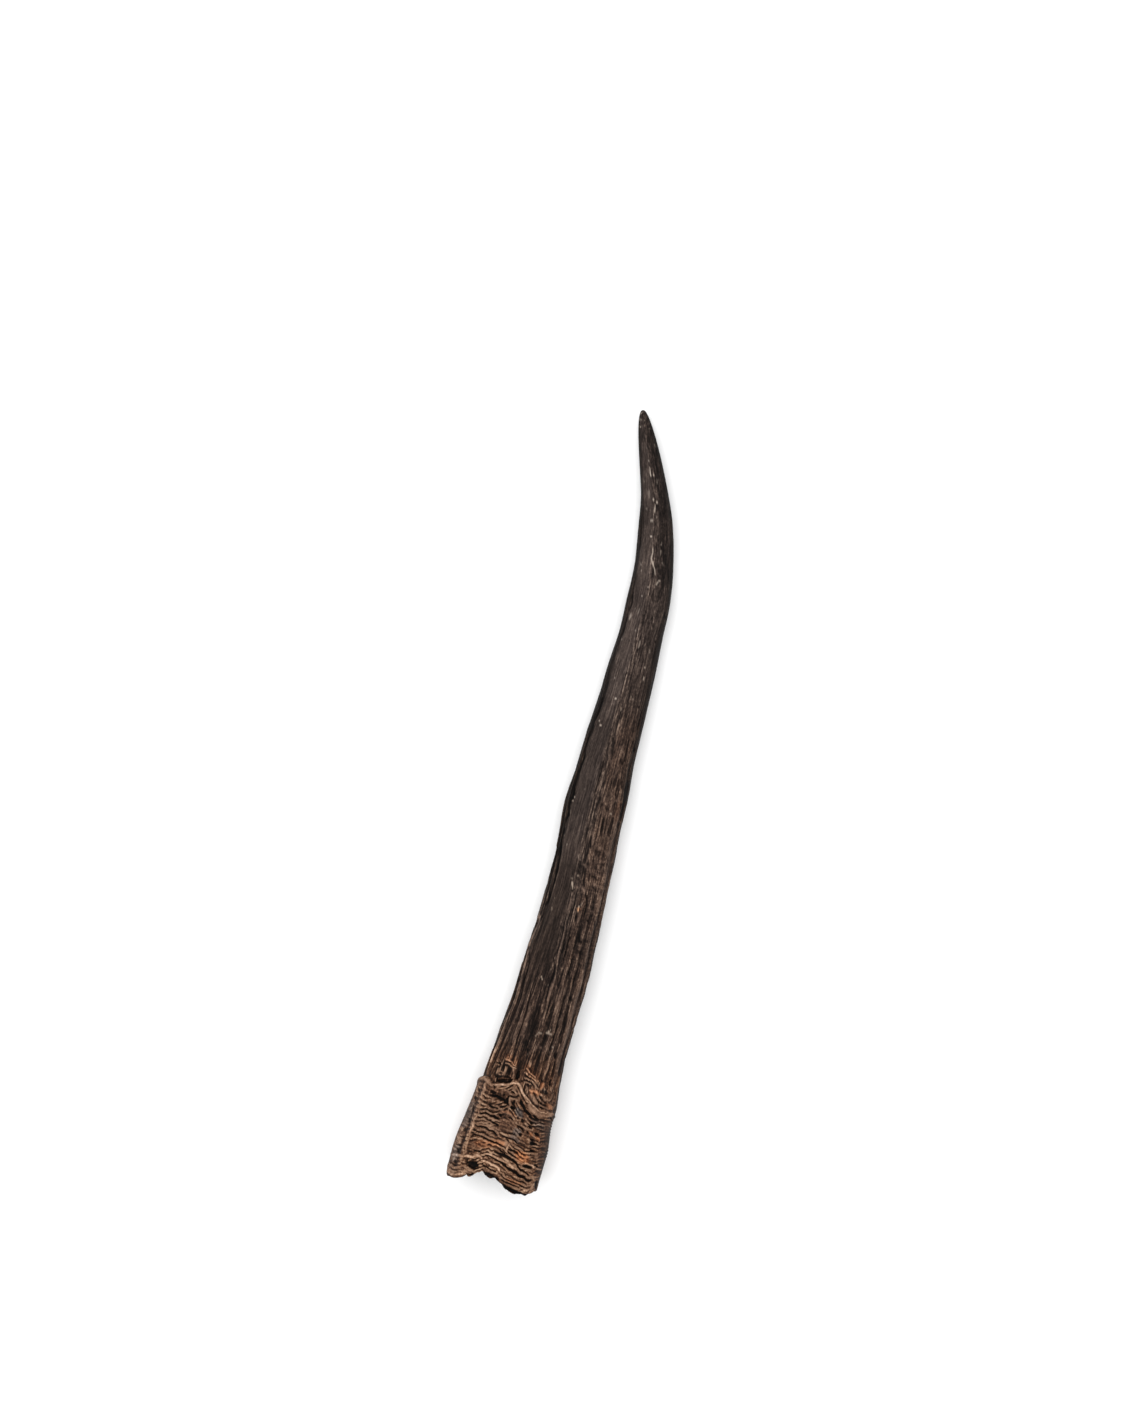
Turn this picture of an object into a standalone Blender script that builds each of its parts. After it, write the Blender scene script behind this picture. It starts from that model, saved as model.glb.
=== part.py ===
"""Ibex horn: the hollow keratin sheath of one horn, lying on its side.

The horn runs from its ragged base rim, at -Y, to its blunt tip, at +Y, and rests on the
narrow worn strip of its underside, at Z = 0.  It grew as one piece, so it is one closed
solid: rings that start at the blind end of the hollow, come out over the rim and follow
the outside up to the tip.  Angles go round a ring from +X, by way of the top at 90.
"""

import bpy
import numpy as np

# The horn's curve, seen from above
HORN_LENGTH = 0.3403
# share of the length, and heading there in degrees from +Y towards +X
HEADINGS = [(0.00, 5.0), (0.06, 4.5), (0.19, 7.3), (0.30, 5.2), (0.44, 1.9),
            (0.64, 4.6), (0.75, 1.1), (0.85, -9.9), (0.94, -19.7), (1.00, -18.5)]

# Girth
SHAFT_HALF_WIDTH = 0.0164
TAPER_POWER = 0.45
COLLAR_FLARE = 0.0015
FLARE_SHARES = (0.05, 0.19)
HEIGHT_RATIO_BASE = 0.86
HEIGHT_RATIO_TIP = 0.96
TOP_ROUNDNESS = 2.15
BELLY_ROUNDNESS = 2.25

# How it lies: the belly is worn level by this much, and the collar holds the base up
BELLY_SINK = 0.0006
COLLAR_RAISE = 0.0012
COLLAR_RAISE_RANGE = (0.035, 0.090)
TIP_LIFT = 0.004
TIP_LIFT_SHARES = (0.76, 1.0)

# The ragged rim and the scalloped ledge that ends the collar: angle, distance along
RIM = [(0, 0.0085), (19, 0.0070), (32, 0.0056), (45, 0.0054), (58, 0.0057), (71, 0.0069),
       (84, 0.0088), (95, 0.0098), (109, 0.0106), (118, 0.0079), (126, 0.0071),
       (140, 0.0053), (164, 0.0047), (180, 0.0078), (208, 0.0063), (232, 0.0090),
       (254, 0.0068), (276, 0.0086), (304, 0.0058), (332, 0.0092)]
LEDGE = [(2, 0.0402), (19, 0.0418), (43, 0.0425), (62, 0.0431), (73, 0.0452),
         (83, 0.0478), (94, 0.0513), (106, 0.0491), (122, 0.0473), (131, 0.0470),
         (142, 0.0484), (153, 0.0480), (178, 0.0455), (205, 0.0425), (235, 0.0460),
         (262, 0.0415), (292, 0.0440), (322, 0.0400)]
LEDGE_HEIGHT = 0.0014
CREST_HEIGHT = 0.0006
CREST_SHARE = 0.94
RECESS_DEPTH = 0.0009
RECESS_SHARE = 0.86
RECESS_LENGTH_SHARE = 0.05
RECESS_ANGLE = 100.0
RECESS_HALF_WIDTH = 26.0
# On the right, the layers past the ledge lie flush with it up to here
FLUSH_RANGE = (0.052, 0.066)

# Growth rings of the collar, one every three rows
COLLAR_RINGS = 12
ROWS_PER_RING = 3
RING_HEIGHTS = (0.00040, -0.00005, -0.00035)
# waves of the growth rings: height, waves round the horn, radians from rim to ledge
RING_WAVES = [(0.0007, 3, 9.0), (0.0004, 7, -14.0)]

# Ridges along the horn: angle, height, half width in degrees, first and last distance
RIDGES = [(96, 0.0006, 8, 0.050, 0.320),
          (128, -0.0004, 18, 0.055, 0.300),
          (151, 0.0006, 6, 0.052, 0.240),
          (161, -0.0005, 5, 0.050, 0.230),
          (171, 0.0006, 6, 0.050, 0.210),
          (82, -0.0004, 5, 0.050, 0.230),
          (73, 0.0004, 5, 0.052, 0.240),
          (64, -0.0005, 5, 0.055, 0.200),
          (55, 0.0004, 5, 0.055, 0.220),
          (45, -0.0005, 5, 0.050, 0.210),
          (35, 0.0004, 6, 0.050, 0.230),
          (20, -0.0005, 5, 0.050, 0.200),
          (200, -0.0005, 7, 0.050, 0.230),
          (216, 0.0005, 7, 0.050, 0.240),
          (318, 0.0005, 7, 0.050, 0.240),
          (338, -0.0005, 7, 0.050, 0.220),
          (137, 0.0008, 5, 0.012, 0.048),
          (147, -0.0006, 5, 0.010, 0.046),
          (222, 0.0006, 8, 0.014, 0.044)]
RIDGE_FADE = 0.006
LONG_RIDGE_FADE = 0.08
LONG_RIDGE_END = 0.1

# Slow swellings: their number, height, greatest turns round the horn, and radians a metre
LUMP_SEED = 11
LUMPS = 10
LUMP_HEIGHT = 0.00028
LUMP_TURN = 3.0
LUMP_RATES = (60.0, 260.0)
LUMP_FADE_SHARES = (0.85, 1.0)

# How far each side stands out from the even taper: distance along, height
LEFT_SIDE = [(0.000, 0.0), (0.010, -0.0001), (0.022, 0.0006), (0.031, 0.0001),
             (0.042, -0.0010), (0.055, -0.0009), (0.064, -0.0004), (0.088, -0.0008),
             (0.112, -0.0001), (0.122, -0.0005), (0.133, -0.0012), (0.142, -0.0010),
             (0.151, -0.0002), (0.200, 0.0), (0.340, 0.0)]
RIGHT_SIDE = [(0.000, 0.0003), (0.025, 0.0010), (0.034, 0.0001), (0.044, 0.0010),
              (0.052, 0.0005), (0.063, 0.0008), (0.076, 0.0), (0.086, 0.0002),
              (0.099, 0.0015), (0.112, 0.0003), (0.130, 0.0), (0.144, 0.0006),
              (0.160, 0.0003), (0.172, 0.0005), (0.186, 0.0001), (0.204, 0.0006),
              (0.224, 0.0), (0.238, 0.0001), (0.256, 0.0010), (0.280, 0.0), (0.340, 0.0)]
SIDE_POWER = 1.5

# The hollow: its depth from the base, and the wall round it
HOLLOW_DEPTH = 0.190
HOLLOW_ROUNDNESS = 2.15
WALL_AT_RIM = 0.0016
WALL_INSIDE = 0.0030
WALL_GROWTH = 0.050
COLLAR_WIDENING = (0.030, 0.050)
LIP_LENGTH = 0.0006
# the hollow narrows as one minus the share of its depth to one power, all to another
HOLLOW_TAPER_POWERS = (3, 0.6)

# Mesh: points of the middle line, columns round a ring, and places of the rings
LINE_POINTS = 681
COLUMNS = 54
COLUMN_CROWDING = 0.25
STEP_SHARES = (0.05, 0.14, 0.32, 0.60, 1.0)
SHAFT_START = 0.062
SHAFT_END = 0.286
SHAFT_RINGS = 18
TIP_SHARES = (0.865, 0.89, 0.915, 0.94, 0.96, 0.976, 0.988, 0.996)
HOLLOW_SHARES = (0.985, 0.94, 0.87, 0.78, 0.67, 0.55, 0.44, 0.33, 0.23, 0.14, 0.07, 0.02)

KERATIN_COLOUR = (0.060, 0.046, 0.038, 1.0)
KERATIN_ROUGHNESS = 0.6


def curve_through(points, places):
    """Read a smooth curve through a few (place, value) points at the given places."""
    xs, ys = np.array(points, dtype=float).T
    slopes = np.gradient(ys, xs)
    places = np.clip(places, xs[0], xs[-1])
    left = np.clip(np.searchsorted(xs, places, side="right") - 1, 0, len(xs) - 2)
    span = xs[left + 1] - xs[left]
    u = (places - xs[left]) / span
    return ((2 * u**3 - 3 * u**2 + 1) * ys[left]
            + (u**3 - 2 * u**2 + u) * span * slopes[left]
            + (3 * u**2 - 2 * u**3) * ys[left + 1]
            + (u**3 - u**2) * span * slopes[left + 1])


def around_curve(points, angles):
    """The same for a closed curve whose places are angles in degrees."""
    before = [(angle - 360, value) for angle, value in points]
    after = [(angle + 360, value) for angle, value in points]
    return curve_through(before + points + after, np.mod(angles, 360))


def smoothstep(low, high, value):
    u = np.clip((value - low) / (high - low), 0.0, 1.0)
    return u * u * (3.0 - 2.0 * u)


def bump(angles, centre, half_width):
    """A smooth hump round the ring, with both measures in degrees."""
    away = np.mod(angles - centre + 180.0, 360.0) - 180.0
    return np.exp(-((away / half_width) ** 2))


def centreline():
    """Points every half millimetre along the horn's middle, in plan."""
    along = np.linspace(0.0, HORN_LENGTH, LINE_POINTS)
    heading = np.radians(curve_through(HEADINGS, along / HORN_LENGTH))
    step = along[1] - along[0]
    x = np.cumsum(np.sin(heading)) * step
    y = np.cumsum(np.cos(heading)) * step
    return along, x, y, heading


LINE_ALONG, LINE_X, LINE_Y, LINE_HEADING = centreline()


def half_width(along):
    share = np.clip(along / HORN_LENGTH, 0.0, 1.0)
    shaft = SHAFT_HALF_WIDTH * (1.0 - share) ** TAPER_POWER
    return shaft + COLLAR_FLARE * (1.0 - smoothstep(*FLARE_SHARES, share))


def height_ratio(along):
    share = along / HORN_LENGTH
    return HEIGHT_RATIO_BASE + (HEIGHT_RATIO_TIP - HEIGHT_RATIO_BASE) * share


def middle_height(along):
    """Height of the ring's middle above the surface that the horn lies on."""
    lift = TIP_LIFT * smoothstep(*TIP_LIFT_SHARES, along / HORN_LENGTH)
    raised = COLLAR_RAISE * (1.0 - smoothstep(*COLLAR_RAISE_RANGE, along))
    return half_width(along) * height_ratio(along) - BELLY_SINK + raised + lift


def place(along, across, up):
    """Turn distances across and up from the ring's middle into points of the model."""
    heading = np.interp(along, LINE_ALONG, LINE_HEADING)
    x = np.interp(along, LINE_ALONG, LINE_X) + across * np.cos(heading)
    y = np.interp(along, LINE_ALONG, LINE_Y) - across * np.sin(heading)
    return np.stack([x, y, middle_height(along) + up], axis=-1)


def oval(angles, half_across, half_up, top_roundness, belly_roundness):
    cosine, sine = np.cos(np.radians(angles)), np.sin(np.radians(angles))
    power = 2.0 / np.where(sine >= 0.0, top_roundness, belly_roundness)
    across = half_across * np.sign(cosine) * np.abs(cosine) ** power
    up = half_up * np.sign(sine) * np.abs(sine) ** power
    return across, up


def ridge_height(angles, along):
    height = np.zeros_like(along)
    for centre, peak, width, first, last in RIDGES:
        end_fade = LONG_RIDGE_FADE if last > LONG_RIDGE_END else RIDGE_FADE
        begun = smoothstep(first - RIDGE_FADE, first + RIDGE_FADE, along)
        going_on = 1.0 - smoothstep(last - end_fade, last, along)
        height += peak * begun * going_on * bump(angles, centre, width)
    return height


def lump_height(angles, along):
    """Slow swellings that close on themselves round the horn."""
    chance = np.random.RandomState(LUMP_SEED)
    cosine, sine = np.cos(np.radians(angles)), np.sin(np.radians(angles))
    height = np.zeros_like(along)
    for _ in range(LUMPS):
        a, b = chance.uniform(-LUMP_TURN, LUMP_TURN, 2)
        rate, phase = chance.uniform(*LUMP_RATES), chance.uniform(0.0, 6.28)
        height += np.sin(a * cosine + b * sine + rate * along + phase)
    fade = 1.0 - smoothstep(*LUMP_FADE_SHARES, along / HORN_LENGTH)
    return LUMP_HEIGHT * fade * height / np.sqrt(LUMPS / 2.0)


def side_height(angles, along):
    """What makes the outline uneven: both sides swell and shrink along the horn."""
    cosine = np.cos(np.radians(angles))
    right = np.clip(cosine, 0.0, 1.0) ** SIDE_POWER * curve_through(RIGHT_SIDE, along)
    left = np.clip(-cosine, 0.0, 1.0) ** SIDE_POWER * curve_through(LEFT_SIDE, along)
    return left + right


def flush_height(angles, along):
    """What hides the ledge's step on the right, where the layers past it lie as high."""
    right = np.clip(np.cos(np.radians(angles)), 0.0, 1.0) ** SIDE_POWER
    return LEDGE_HEIGHT * right * (1.0 - smoothstep(*FLUSH_RANGE, along))


def outer_ring(angles, along, extra):
    """One ring of the outside; extra is what stands proud of the shaft there."""
    across, up = oval(angles, half_width(along), half_width(along) * height_ratio(along),
                      TOP_ROUNDNESS, BELLY_ROUNDNESS)
    proud = ridge_height(angles, along) + lump_height(angles, along)
    proud += side_height(angles, along) + extra
    ratio = height_ratio(along)
    out_x = np.cos(np.radians(angles)) * ratio
    out_z = np.sin(np.radians(angles))
    size = np.hypot(out_x, out_z)
    points = place(along, across + proud * out_x / size, up + proud * out_z / size)
    points[:, 2] = np.maximum(points[:, 2], 0.0)
    return points


def collar_rings(angles, rim, ledge):
    """Rings from the rim to the ledge, each growth ring a crest, a slope and a groove."""
    rows = COLLAR_RINGS * ROWS_PER_RING
    rings = []
    for row in range(rows + 1):
        share = row / rows
        ripple = sum(height * np.sin(np.radians(waves * angles) + turn * share)
                     for height, waves, turn in RING_WAVES)
        along = rim + (ledge - rim) * share + ripple * np.sin(np.pi * share)
        extra = np.full_like(angles, LEDGE_HEIGHT + RING_HEIGHTS[(row + 2) % ROWS_PER_RING])
        extra += CREST_HEIGHT * smoothstep(CREST_SHARE, 1.0, share)
        deep = 0.5 + bump(angles, RECESS_ANGLE, RECESS_HALF_WIDTH)
        extra -= RECESS_DEPTH * deep * np.exp(
            -(((share - RECESS_SHARE) / RECESS_LENGTH_SHARE) ** 2))
        rings.append(outer_ring(angles, along, extra))
    return rings


def hollow_ring(angles, along):
    wall = WALL_AT_RIM + (WALL_INSIDE - WALL_AT_RIM) * smoothstep(0.0, WALL_GROWTH, along)
    widening = LEDGE_HEIGHT * (1.0 - smoothstep(*COLLAR_WIDENING, along)) - wall
    first_power, second_power = HOLLOW_TAPER_POWERS
    taper = np.clip(1.0 - (along / HOLLOW_DEPTH) ** first_power, 0.0, 1.0) ** second_power
    across, up = oval(angles, (half_width(along) + widening) * taper,
                      (half_width(along) * height_ratio(along) + widening) * taper,
                      HOLLOW_ROUNDNESS, HOLLOW_ROUNDNESS)
    points = place(along, across, up)
    points[:, 2] = np.maximum(points[:, 2], wall)
    return points


def horn_rings():
    """All rings, from the blind end of the hollow over the rim to the tip."""
    turn = np.arange(COLUMNS) / COLUMNS * 2.0 * np.pi
    angles = np.degrees(turn + COLUMN_CROWDING * np.cos(turn))
    rim = around_curve(RIM, angles)
    ledge = around_curve(LEDGE, angles)
    rings = [hollow_ring(angles, rim + (HOLLOW_DEPTH - rim) * share)
             for share in HOLLOW_SHARES]
    rings.append(hollow_ring(angles, rim + LIP_LENGTH))
    rings += collar_rings(angles, rim, ledge)
    for share in STEP_SHARES:
        along = ledge + (SHAFT_START - ledge) * share
        rings.append(outer_ring(angles, along, flush_height(angles, along)))
    for distance in np.linspace(SHAFT_START, SHAFT_END, SHAFT_RINGS)[1:]:
        along = np.full_like(angles, distance)
        rings.append(outer_ring(angles, along, flush_height(angles, along)))
    for share in TIP_SHARES:
        along = np.full_like(angles, share * HORN_LENGTH)
        rings.append(outer_ring(angles, along, np.zeros_like(angles)))
    return rings


def loft(rings):
    """Join the rings by quads and close both ends by a fan to their middle."""
    columns = len(rings[0])
    points = np.concatenate(rings)
    blind_end = place(np.array([HOLLOW_DEPTH]), 0.0, 0.0)
    tip = place(np.array([HORN_LENGTH]), 0.0, 0.0)
    points = np.concatenate([points, blind_end, tip])
    first, last = len(points) - 2, len(points) - 1
    faces = []
    for row in range(len(rings) - 1):
        for column in range(columns):
            here, beside = row * columns + column, row * columns + (column + 1) % columns
            faces.append((here, here + columns, beside + columns, beside))
    top = (len(rings) - 1) * columns
    for column in range(columns):
        beside = (column + 1) % columns
        faces.append((first, column, beside))
        faces.append((last, top + beside, top + column))
    return points, faces


def add_horn(collection):
    points, faces = loft(horn_rings())
    middle = (points.min(axis=0) + points.max(axis=0)) / 2.0
    points[:, :2] -= middle[:2]
    mesh = bpy.data.meshes.new("horn_sheath")
    mesh.from_pydata(points.tolist(), [], faces)
    mesh.shade_smooth()
    horn = bpy.data.objects.new("horn_sheath", mesh)
    horn.data.materials.append(keratin())
    collection.objects.link(horn)


def keratin():
    material = bpy.data.materials.new("horn keratin")
    material.use_nodes = True
    shader = material.node_tree.nodes["Principled BSDF"]
    shader.inputs["Base Color"].default_value = KERATIN_COLOUR
    shader.inputs["Roughness"].default_value = KERATIN_ROUGHNESS
    shader.inputs["Metallic"].default_value = 0.0
    return material


for leftover in list(bpy.data.objects):
    bpy.data.objects.remove(leftover, do_unlink=True)
ibex_horn = bpy.data.collections.new("ibex horn")
bpy.context.scene.collection.children.link(ibex_horn)
add_horn(ibex_horn)
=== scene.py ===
import math

import bpy
import numpy as np
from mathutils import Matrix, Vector


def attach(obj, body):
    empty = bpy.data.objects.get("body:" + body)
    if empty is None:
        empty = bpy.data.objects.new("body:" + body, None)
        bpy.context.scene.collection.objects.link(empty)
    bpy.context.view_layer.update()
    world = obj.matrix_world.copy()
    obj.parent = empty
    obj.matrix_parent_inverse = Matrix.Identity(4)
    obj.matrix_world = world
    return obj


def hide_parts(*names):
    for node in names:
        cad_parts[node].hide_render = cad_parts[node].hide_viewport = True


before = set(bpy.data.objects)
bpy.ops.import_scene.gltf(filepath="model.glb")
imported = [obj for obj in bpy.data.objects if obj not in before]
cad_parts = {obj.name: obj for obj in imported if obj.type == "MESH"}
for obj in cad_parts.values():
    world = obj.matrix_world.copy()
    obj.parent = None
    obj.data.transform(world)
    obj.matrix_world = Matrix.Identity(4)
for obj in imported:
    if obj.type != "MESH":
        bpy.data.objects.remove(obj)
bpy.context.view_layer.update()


# The horn's curve. The sheath of one horn, grown as one hollow piece of keratin: a long
# bend in plan that curls to the left over its last fifth. It lies on its side, so the
# curve is flat, and only the tip lifts off the floor. Angles go round from +X by the top.
MM = 0.001
HORN_LENGTH = 0.3403
CURVE_POINTS = 681
# share of the length, and heading there in degrees from +Y towards +X
HEADINGS = [(0.00, 5.0), (0.06, 4.5), (0.19, 7.3), (0.30, 5.2), (0.44, 1.9),
            (0.64, 4.6), (0.75, 1.1), (0.85, -9.9), (0.94, -19.7), (1.00, -18.5)]
SHAFT_HALF_WIDTH = 0.0164
TAPER_POWER = 0.45
COLLAR_FLARE = 0.0015
FLARE_SHARES = (0.05, 0.19)
HEIGHT_RATIOS = (0.86, 0.96)
BELLY_SINK = 0.0006
COLLAR_RAISE = 0.0012
COLLAR_RAISE_RANGE = (0.035, 0.090)
TIP_LIFT = 0.004
TIP_LIFT_SHARES = (0.76, 1.0)
TOP_ROUNDNESS = 2.15
BELLY_ROUNDNESS = 2.25


def curve_through(points, places):
    """Read a smooth curve through a few (place, value) points at the given places."""
    knots, values = np.array(points, dtype=float).T
    slopes = np.gradient(values, knots)
    places = np.clip(places, knots[0], knots[-1])
    left = np.clip(np.searchsorted(knots, places, side="right") - 1, 0, len(knots) - 2)
    span = knots[left + 1] - knots[left]
    part = (places - knots[left]) / span
    return ((2 * part**3 - 3 * part**2 + 1) * values[left]
            + (part**3 - 2 * part**2 + part) * span * slopes[left]
            + (3 * part**2 - 2 * part**3) * values[left + 1]
            + (part**3 - part**2) * span * slopes[left + 1])


def smoothstep(low, high, value):
    part = np.clip((value - low) / (high - low), 0.0, 1.0)
    return part * part * (3.0 - 2.0 * part)


def between(low, high, soft, value):
    """One between two places, with a soft edge, and zero outside."""
    return smoothstep(low - soft, low + soft, value) * (
        1.0 - smoothstep(high - soft, high + soft, value))


line_along = np.linspace(0.0, HORN_LENGTH, CURVE_POINTS)
line_step = line_along[1] - line_along[0]
line_heading = np.radians(curve_through(HEADINGS, line_along / HORN_LENGTH))
line_x = np.cumsum(np.sin(line_heading)) * line_step
line_y = np.cumsum(np.cos(line_heading)) * line_step
solid_points = [vertex.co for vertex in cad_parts["horn_sheath"].data.vertices]
cad_tip = max(solid_points, key=lambda point: point.y)
BASE_X = cad_tip.x - line_x[-1]
BASE_Y = cad_tip.y - line_y[-1]


def half_width(along):
    share = np.clip(along / HORN_LENGTH, 0.0, 1.0)
    shaft = SHAFT_HALF_WIDTH * (1.0 - share) ** TAPER_POWER
    return shaft + COLLAR_FLARE * (1.0 - smoothstep(*FLARE_SHARES, share))


def height_ratio(along):
    return HEIGHT_RATIOS[0] + (HEIGHT_RATIOS[1] - HEIGHT_RATIOS[0]) * along / HORN_LENGTH


def place(along, across, up):
    """Points at these distances along the horn, and across and up from its middle."""
    heading = np.interp(along, line_along, line_heading)
    x = BASE_X + np.interp(along, line_along, line_x) + across * np.cos(heading)
    y = BASE_Y + np.interp(along, line_along, line_y) - across * np.sin(heading)
    lift = TIP_LIFT * smoothstep(*TIP_LIFT_SHARES, along / HORN_LENGTH)
    raised = COLLAR_RAISE * (1.0 - smoothstep(*COLLAR_RAISE_RANGE, along))
    middle = half_width(along) * height_ratio(along) - BELLY_SINK + raised + lift
    return np.stack([x, y, middle + up], axis=-1)


# The camera. It hangs straight above the middle of the photograph's frame, whose upright
# leans to the left of the line from the horn's base to its tip.
LEAN = math.radians(10.9)
# the photograph's scale and height, and its centre as seen from the horn's base, in pixels
MM_PER_PIXEL = 0.42
FRAME_HEIGHT_PIXELS = 1402
BASE_TO_CENTRE_RIGHT = 74.6
BASE_TO_CENTRE_UP = 495.0
WIDEST_HEIGHT = 0.014
LENS = 85.0
SENSOR = 36.0
CAMERA_DISTANCE = FRAME_HEIGHT_PIXELS * MM_PER_PIXEL * MM * LENS / SENSOR

right_mm = BASE_TO_CENTRE_RIGHT * MM_PER_PIXEL
up_mm = BASE_TO_CENTRE_UP * MM_PER_PIXEL
camera_data = bpy.data.cameras.new("camera")
camera_data.lens = LENS
camera_data.sensor_width = SENSOR
camera = bpy.data.objects.new("camera", camera_data)
camera.location = (
    BASE_X + (right_mm * math.cos(LEAN) - up_mm * math.sin(LEAN)) * MM,
    BASE_Y + (right_mm * math.sin(LEAN) + up_mm * math.cos(LEAN)) * MM,
    CAMERA_DISTANCE + WIDEST_HEIGHT)
camera.rotation_euler = (0.0, 0.0, LEAN)
bpy.context.scene.collection.objects.link(camera)
bpy.context.scene.camera = camera


# The collar. The youngest keratin, at the base, stands proud of the worn shaft. Its rim is
# a thin broken edge, its upper end a scalloped ledge where the older layers have flaked
# away, and between them lie growth rings like shingles, with their steep side to the base.
# angle, distance along the horn
RIM = [(0, 0.0085), (19, 0.0070), (32, 0.0056), (45, 0.0054), (58, 0.0057), (71, 0.0069),
       (84, 0.0088), (95, 0.0098), (109, 0.0106), (118, 0.0079), (126, 0.0071),
       (140, 0.0053), (164, 0.0047), (180, 0.0078), (208, 0.0063), (232, 0.0090),
       (254, 0.0068), (276, 0.0086), (304, 0.0058), (332, 0.0092)]
LEDGE = [(2, 0.0402), (19, 0.0418), (43, 0.0425), (62, 0.0431), (73, 0.0452),
         (83, 0.0478), (94, 0.0513), (106, 0.0491), (122, 0.0473), (131, 0.0470),
         (142, 0.0484), (153, 0.0480), (178, 0.0455), (205, 0.0425), (235, 0.0460),
         (262, 0.0415), (292, 0.0440), (322, 0.0400)]
LEDGE_HEIGHT = 0.0014
LEDGE_STEP = (-0.0001, 0.0006)
FLUSH_RANGE = (0.052, 0.066)
CREST_HEIGHT = 0.00035
RIM_FRAY = 0.0009
GROWTH_RINGS = 24
RING_HEIGHT = 0.00062
# faults where the layers are broken and shifted: angle, shift as a share of a layer
FAULTS = [(12, 0.50), (50, 0.40), (73, 0.30), (97, 0.45), (137, 0.35), (186, 0.40),
          (232, 0.30), (286, 0.30)]


def around_curve(points, angles):
    """The same for a closed curve whose places are angles in degrees."""
    before = [(angle - 360, value) for angle, value in points]
    after = [(angle + 360, value) for angle, value in points]
    return curve_through(before + points + after, np.mod(angles, 360))


def patches(angles, along, cells_round, cell_length, seed):
    """Smooth chance values from -1 to 1 that close on themselves round the horn."""
    rows = int(HORN_LENGTH / cell_length) + 5
    grid = np.random.RandomState(seed).uniform(-1.0, 1.0, (rows, cells_round))
    place_round = np.mod(angles, 360.0) / 360.0 * cells_round
    place_along = np.clip(along / cell_length, -1.0, rows - 4.0) + 1.0
    cell, row = np.floor(place_round).astype(int), np.floor(place_along).astype(int)
    part_round = smoothstep(0.0, 1.0, place_round - cell)
    part_along = smoothstep(0.0, 1.0, place_along - row)
    cell, beside = cell % cells_round, (cell + 1) % cells_round
    low = grid[row, cell] * (1.0 - part_round) + grid[row, beside] * part_round
    high = grid[row + 1, cell] * (1.0 - part_round) + grid[row + 1, beside] * part_round
    return low * (1.0 - part_along) + high * part_along


def shingles(phase, steep):
    """Height from 0 to 1 of overlapping layers, whose steep side comes first."""
    part = np.mod(phase, 1.0)
    rise = smoothstep(0.0, steep, part)
    return rise * (1.0 - np.clip((part - steep) / (1.0 - steep), 0.0, 1.0)) ** 0.8


def ring_phase(angles, along, rim, ledge):
    """How many growth rings lie between the rim and each point, with their faults."""
    share = (along - rim) / (ledge - rim)
    wobble = (0.42 * patches(angles, along, 12, 0.010, 21)
              + 0.11 * patches(angles, along, 34, 0.005, 22)
              + 0.04 * patches(angles, along, 90, 0.003, 23))
    for angle, shift in FAULTS:
        wobble += shift * smoothstep(angle - 1.5, angle + 1.5, angles)
    return GROWTH_RINGS * share + wobble


def ring_strength(angles, along):
    """How strongly the rings show; the sides are smooth and the underside is worn."""
    strength = np.clip(0.5 + 0.9 * patches(angles, along, 24, 0.004, 24), 0.1, 1.2)
    smooth_side = np.maximum(between(141.0, 222.0, 4.0, angles), between(-1.0, 30.0, 5.0, angles))
    worn = between(222.0, 350.0, 6.0, angles)
    banded = between(30.0, 92.0, 8.0, angles) * (1.0 - smoothstep(0.014, 0.018, along))
    return strength * (1.0 - 0.75 * smooth_side - 0.45 * worn - 0.55 * banded)


def collar_height(angles, along, rim, ledge):
    past = along - ledge
    in_collar = 1.0 - smoothstep(*LEDGE_STEP, past)
    height = LEDGE_HEIGHT * in_collar
    height += CREST_HEIGHT * np.exp(-(((past + 0.0006) / 0.0007) ** 2)) * (
        0.7 + 0.5 * patches(angles, along, 30, 0.01, 5))
    phase = ring_phase(angles, along, rim, ledge)
    finer = np.clip(0.4 + 0.9 * patches(angles, along, 30, 0.005, 25), 0.0, 1.0)
    between_rings = shingles(2.0 * phase + 0.3, 0.3) - 0.45
    rings = shingles(phase, 0.22) - 0.45 + 0.7 * finer * between_rings
    return height + in_collar * RING_HEIGHT * rings * ring_strength(angles, along)


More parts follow.
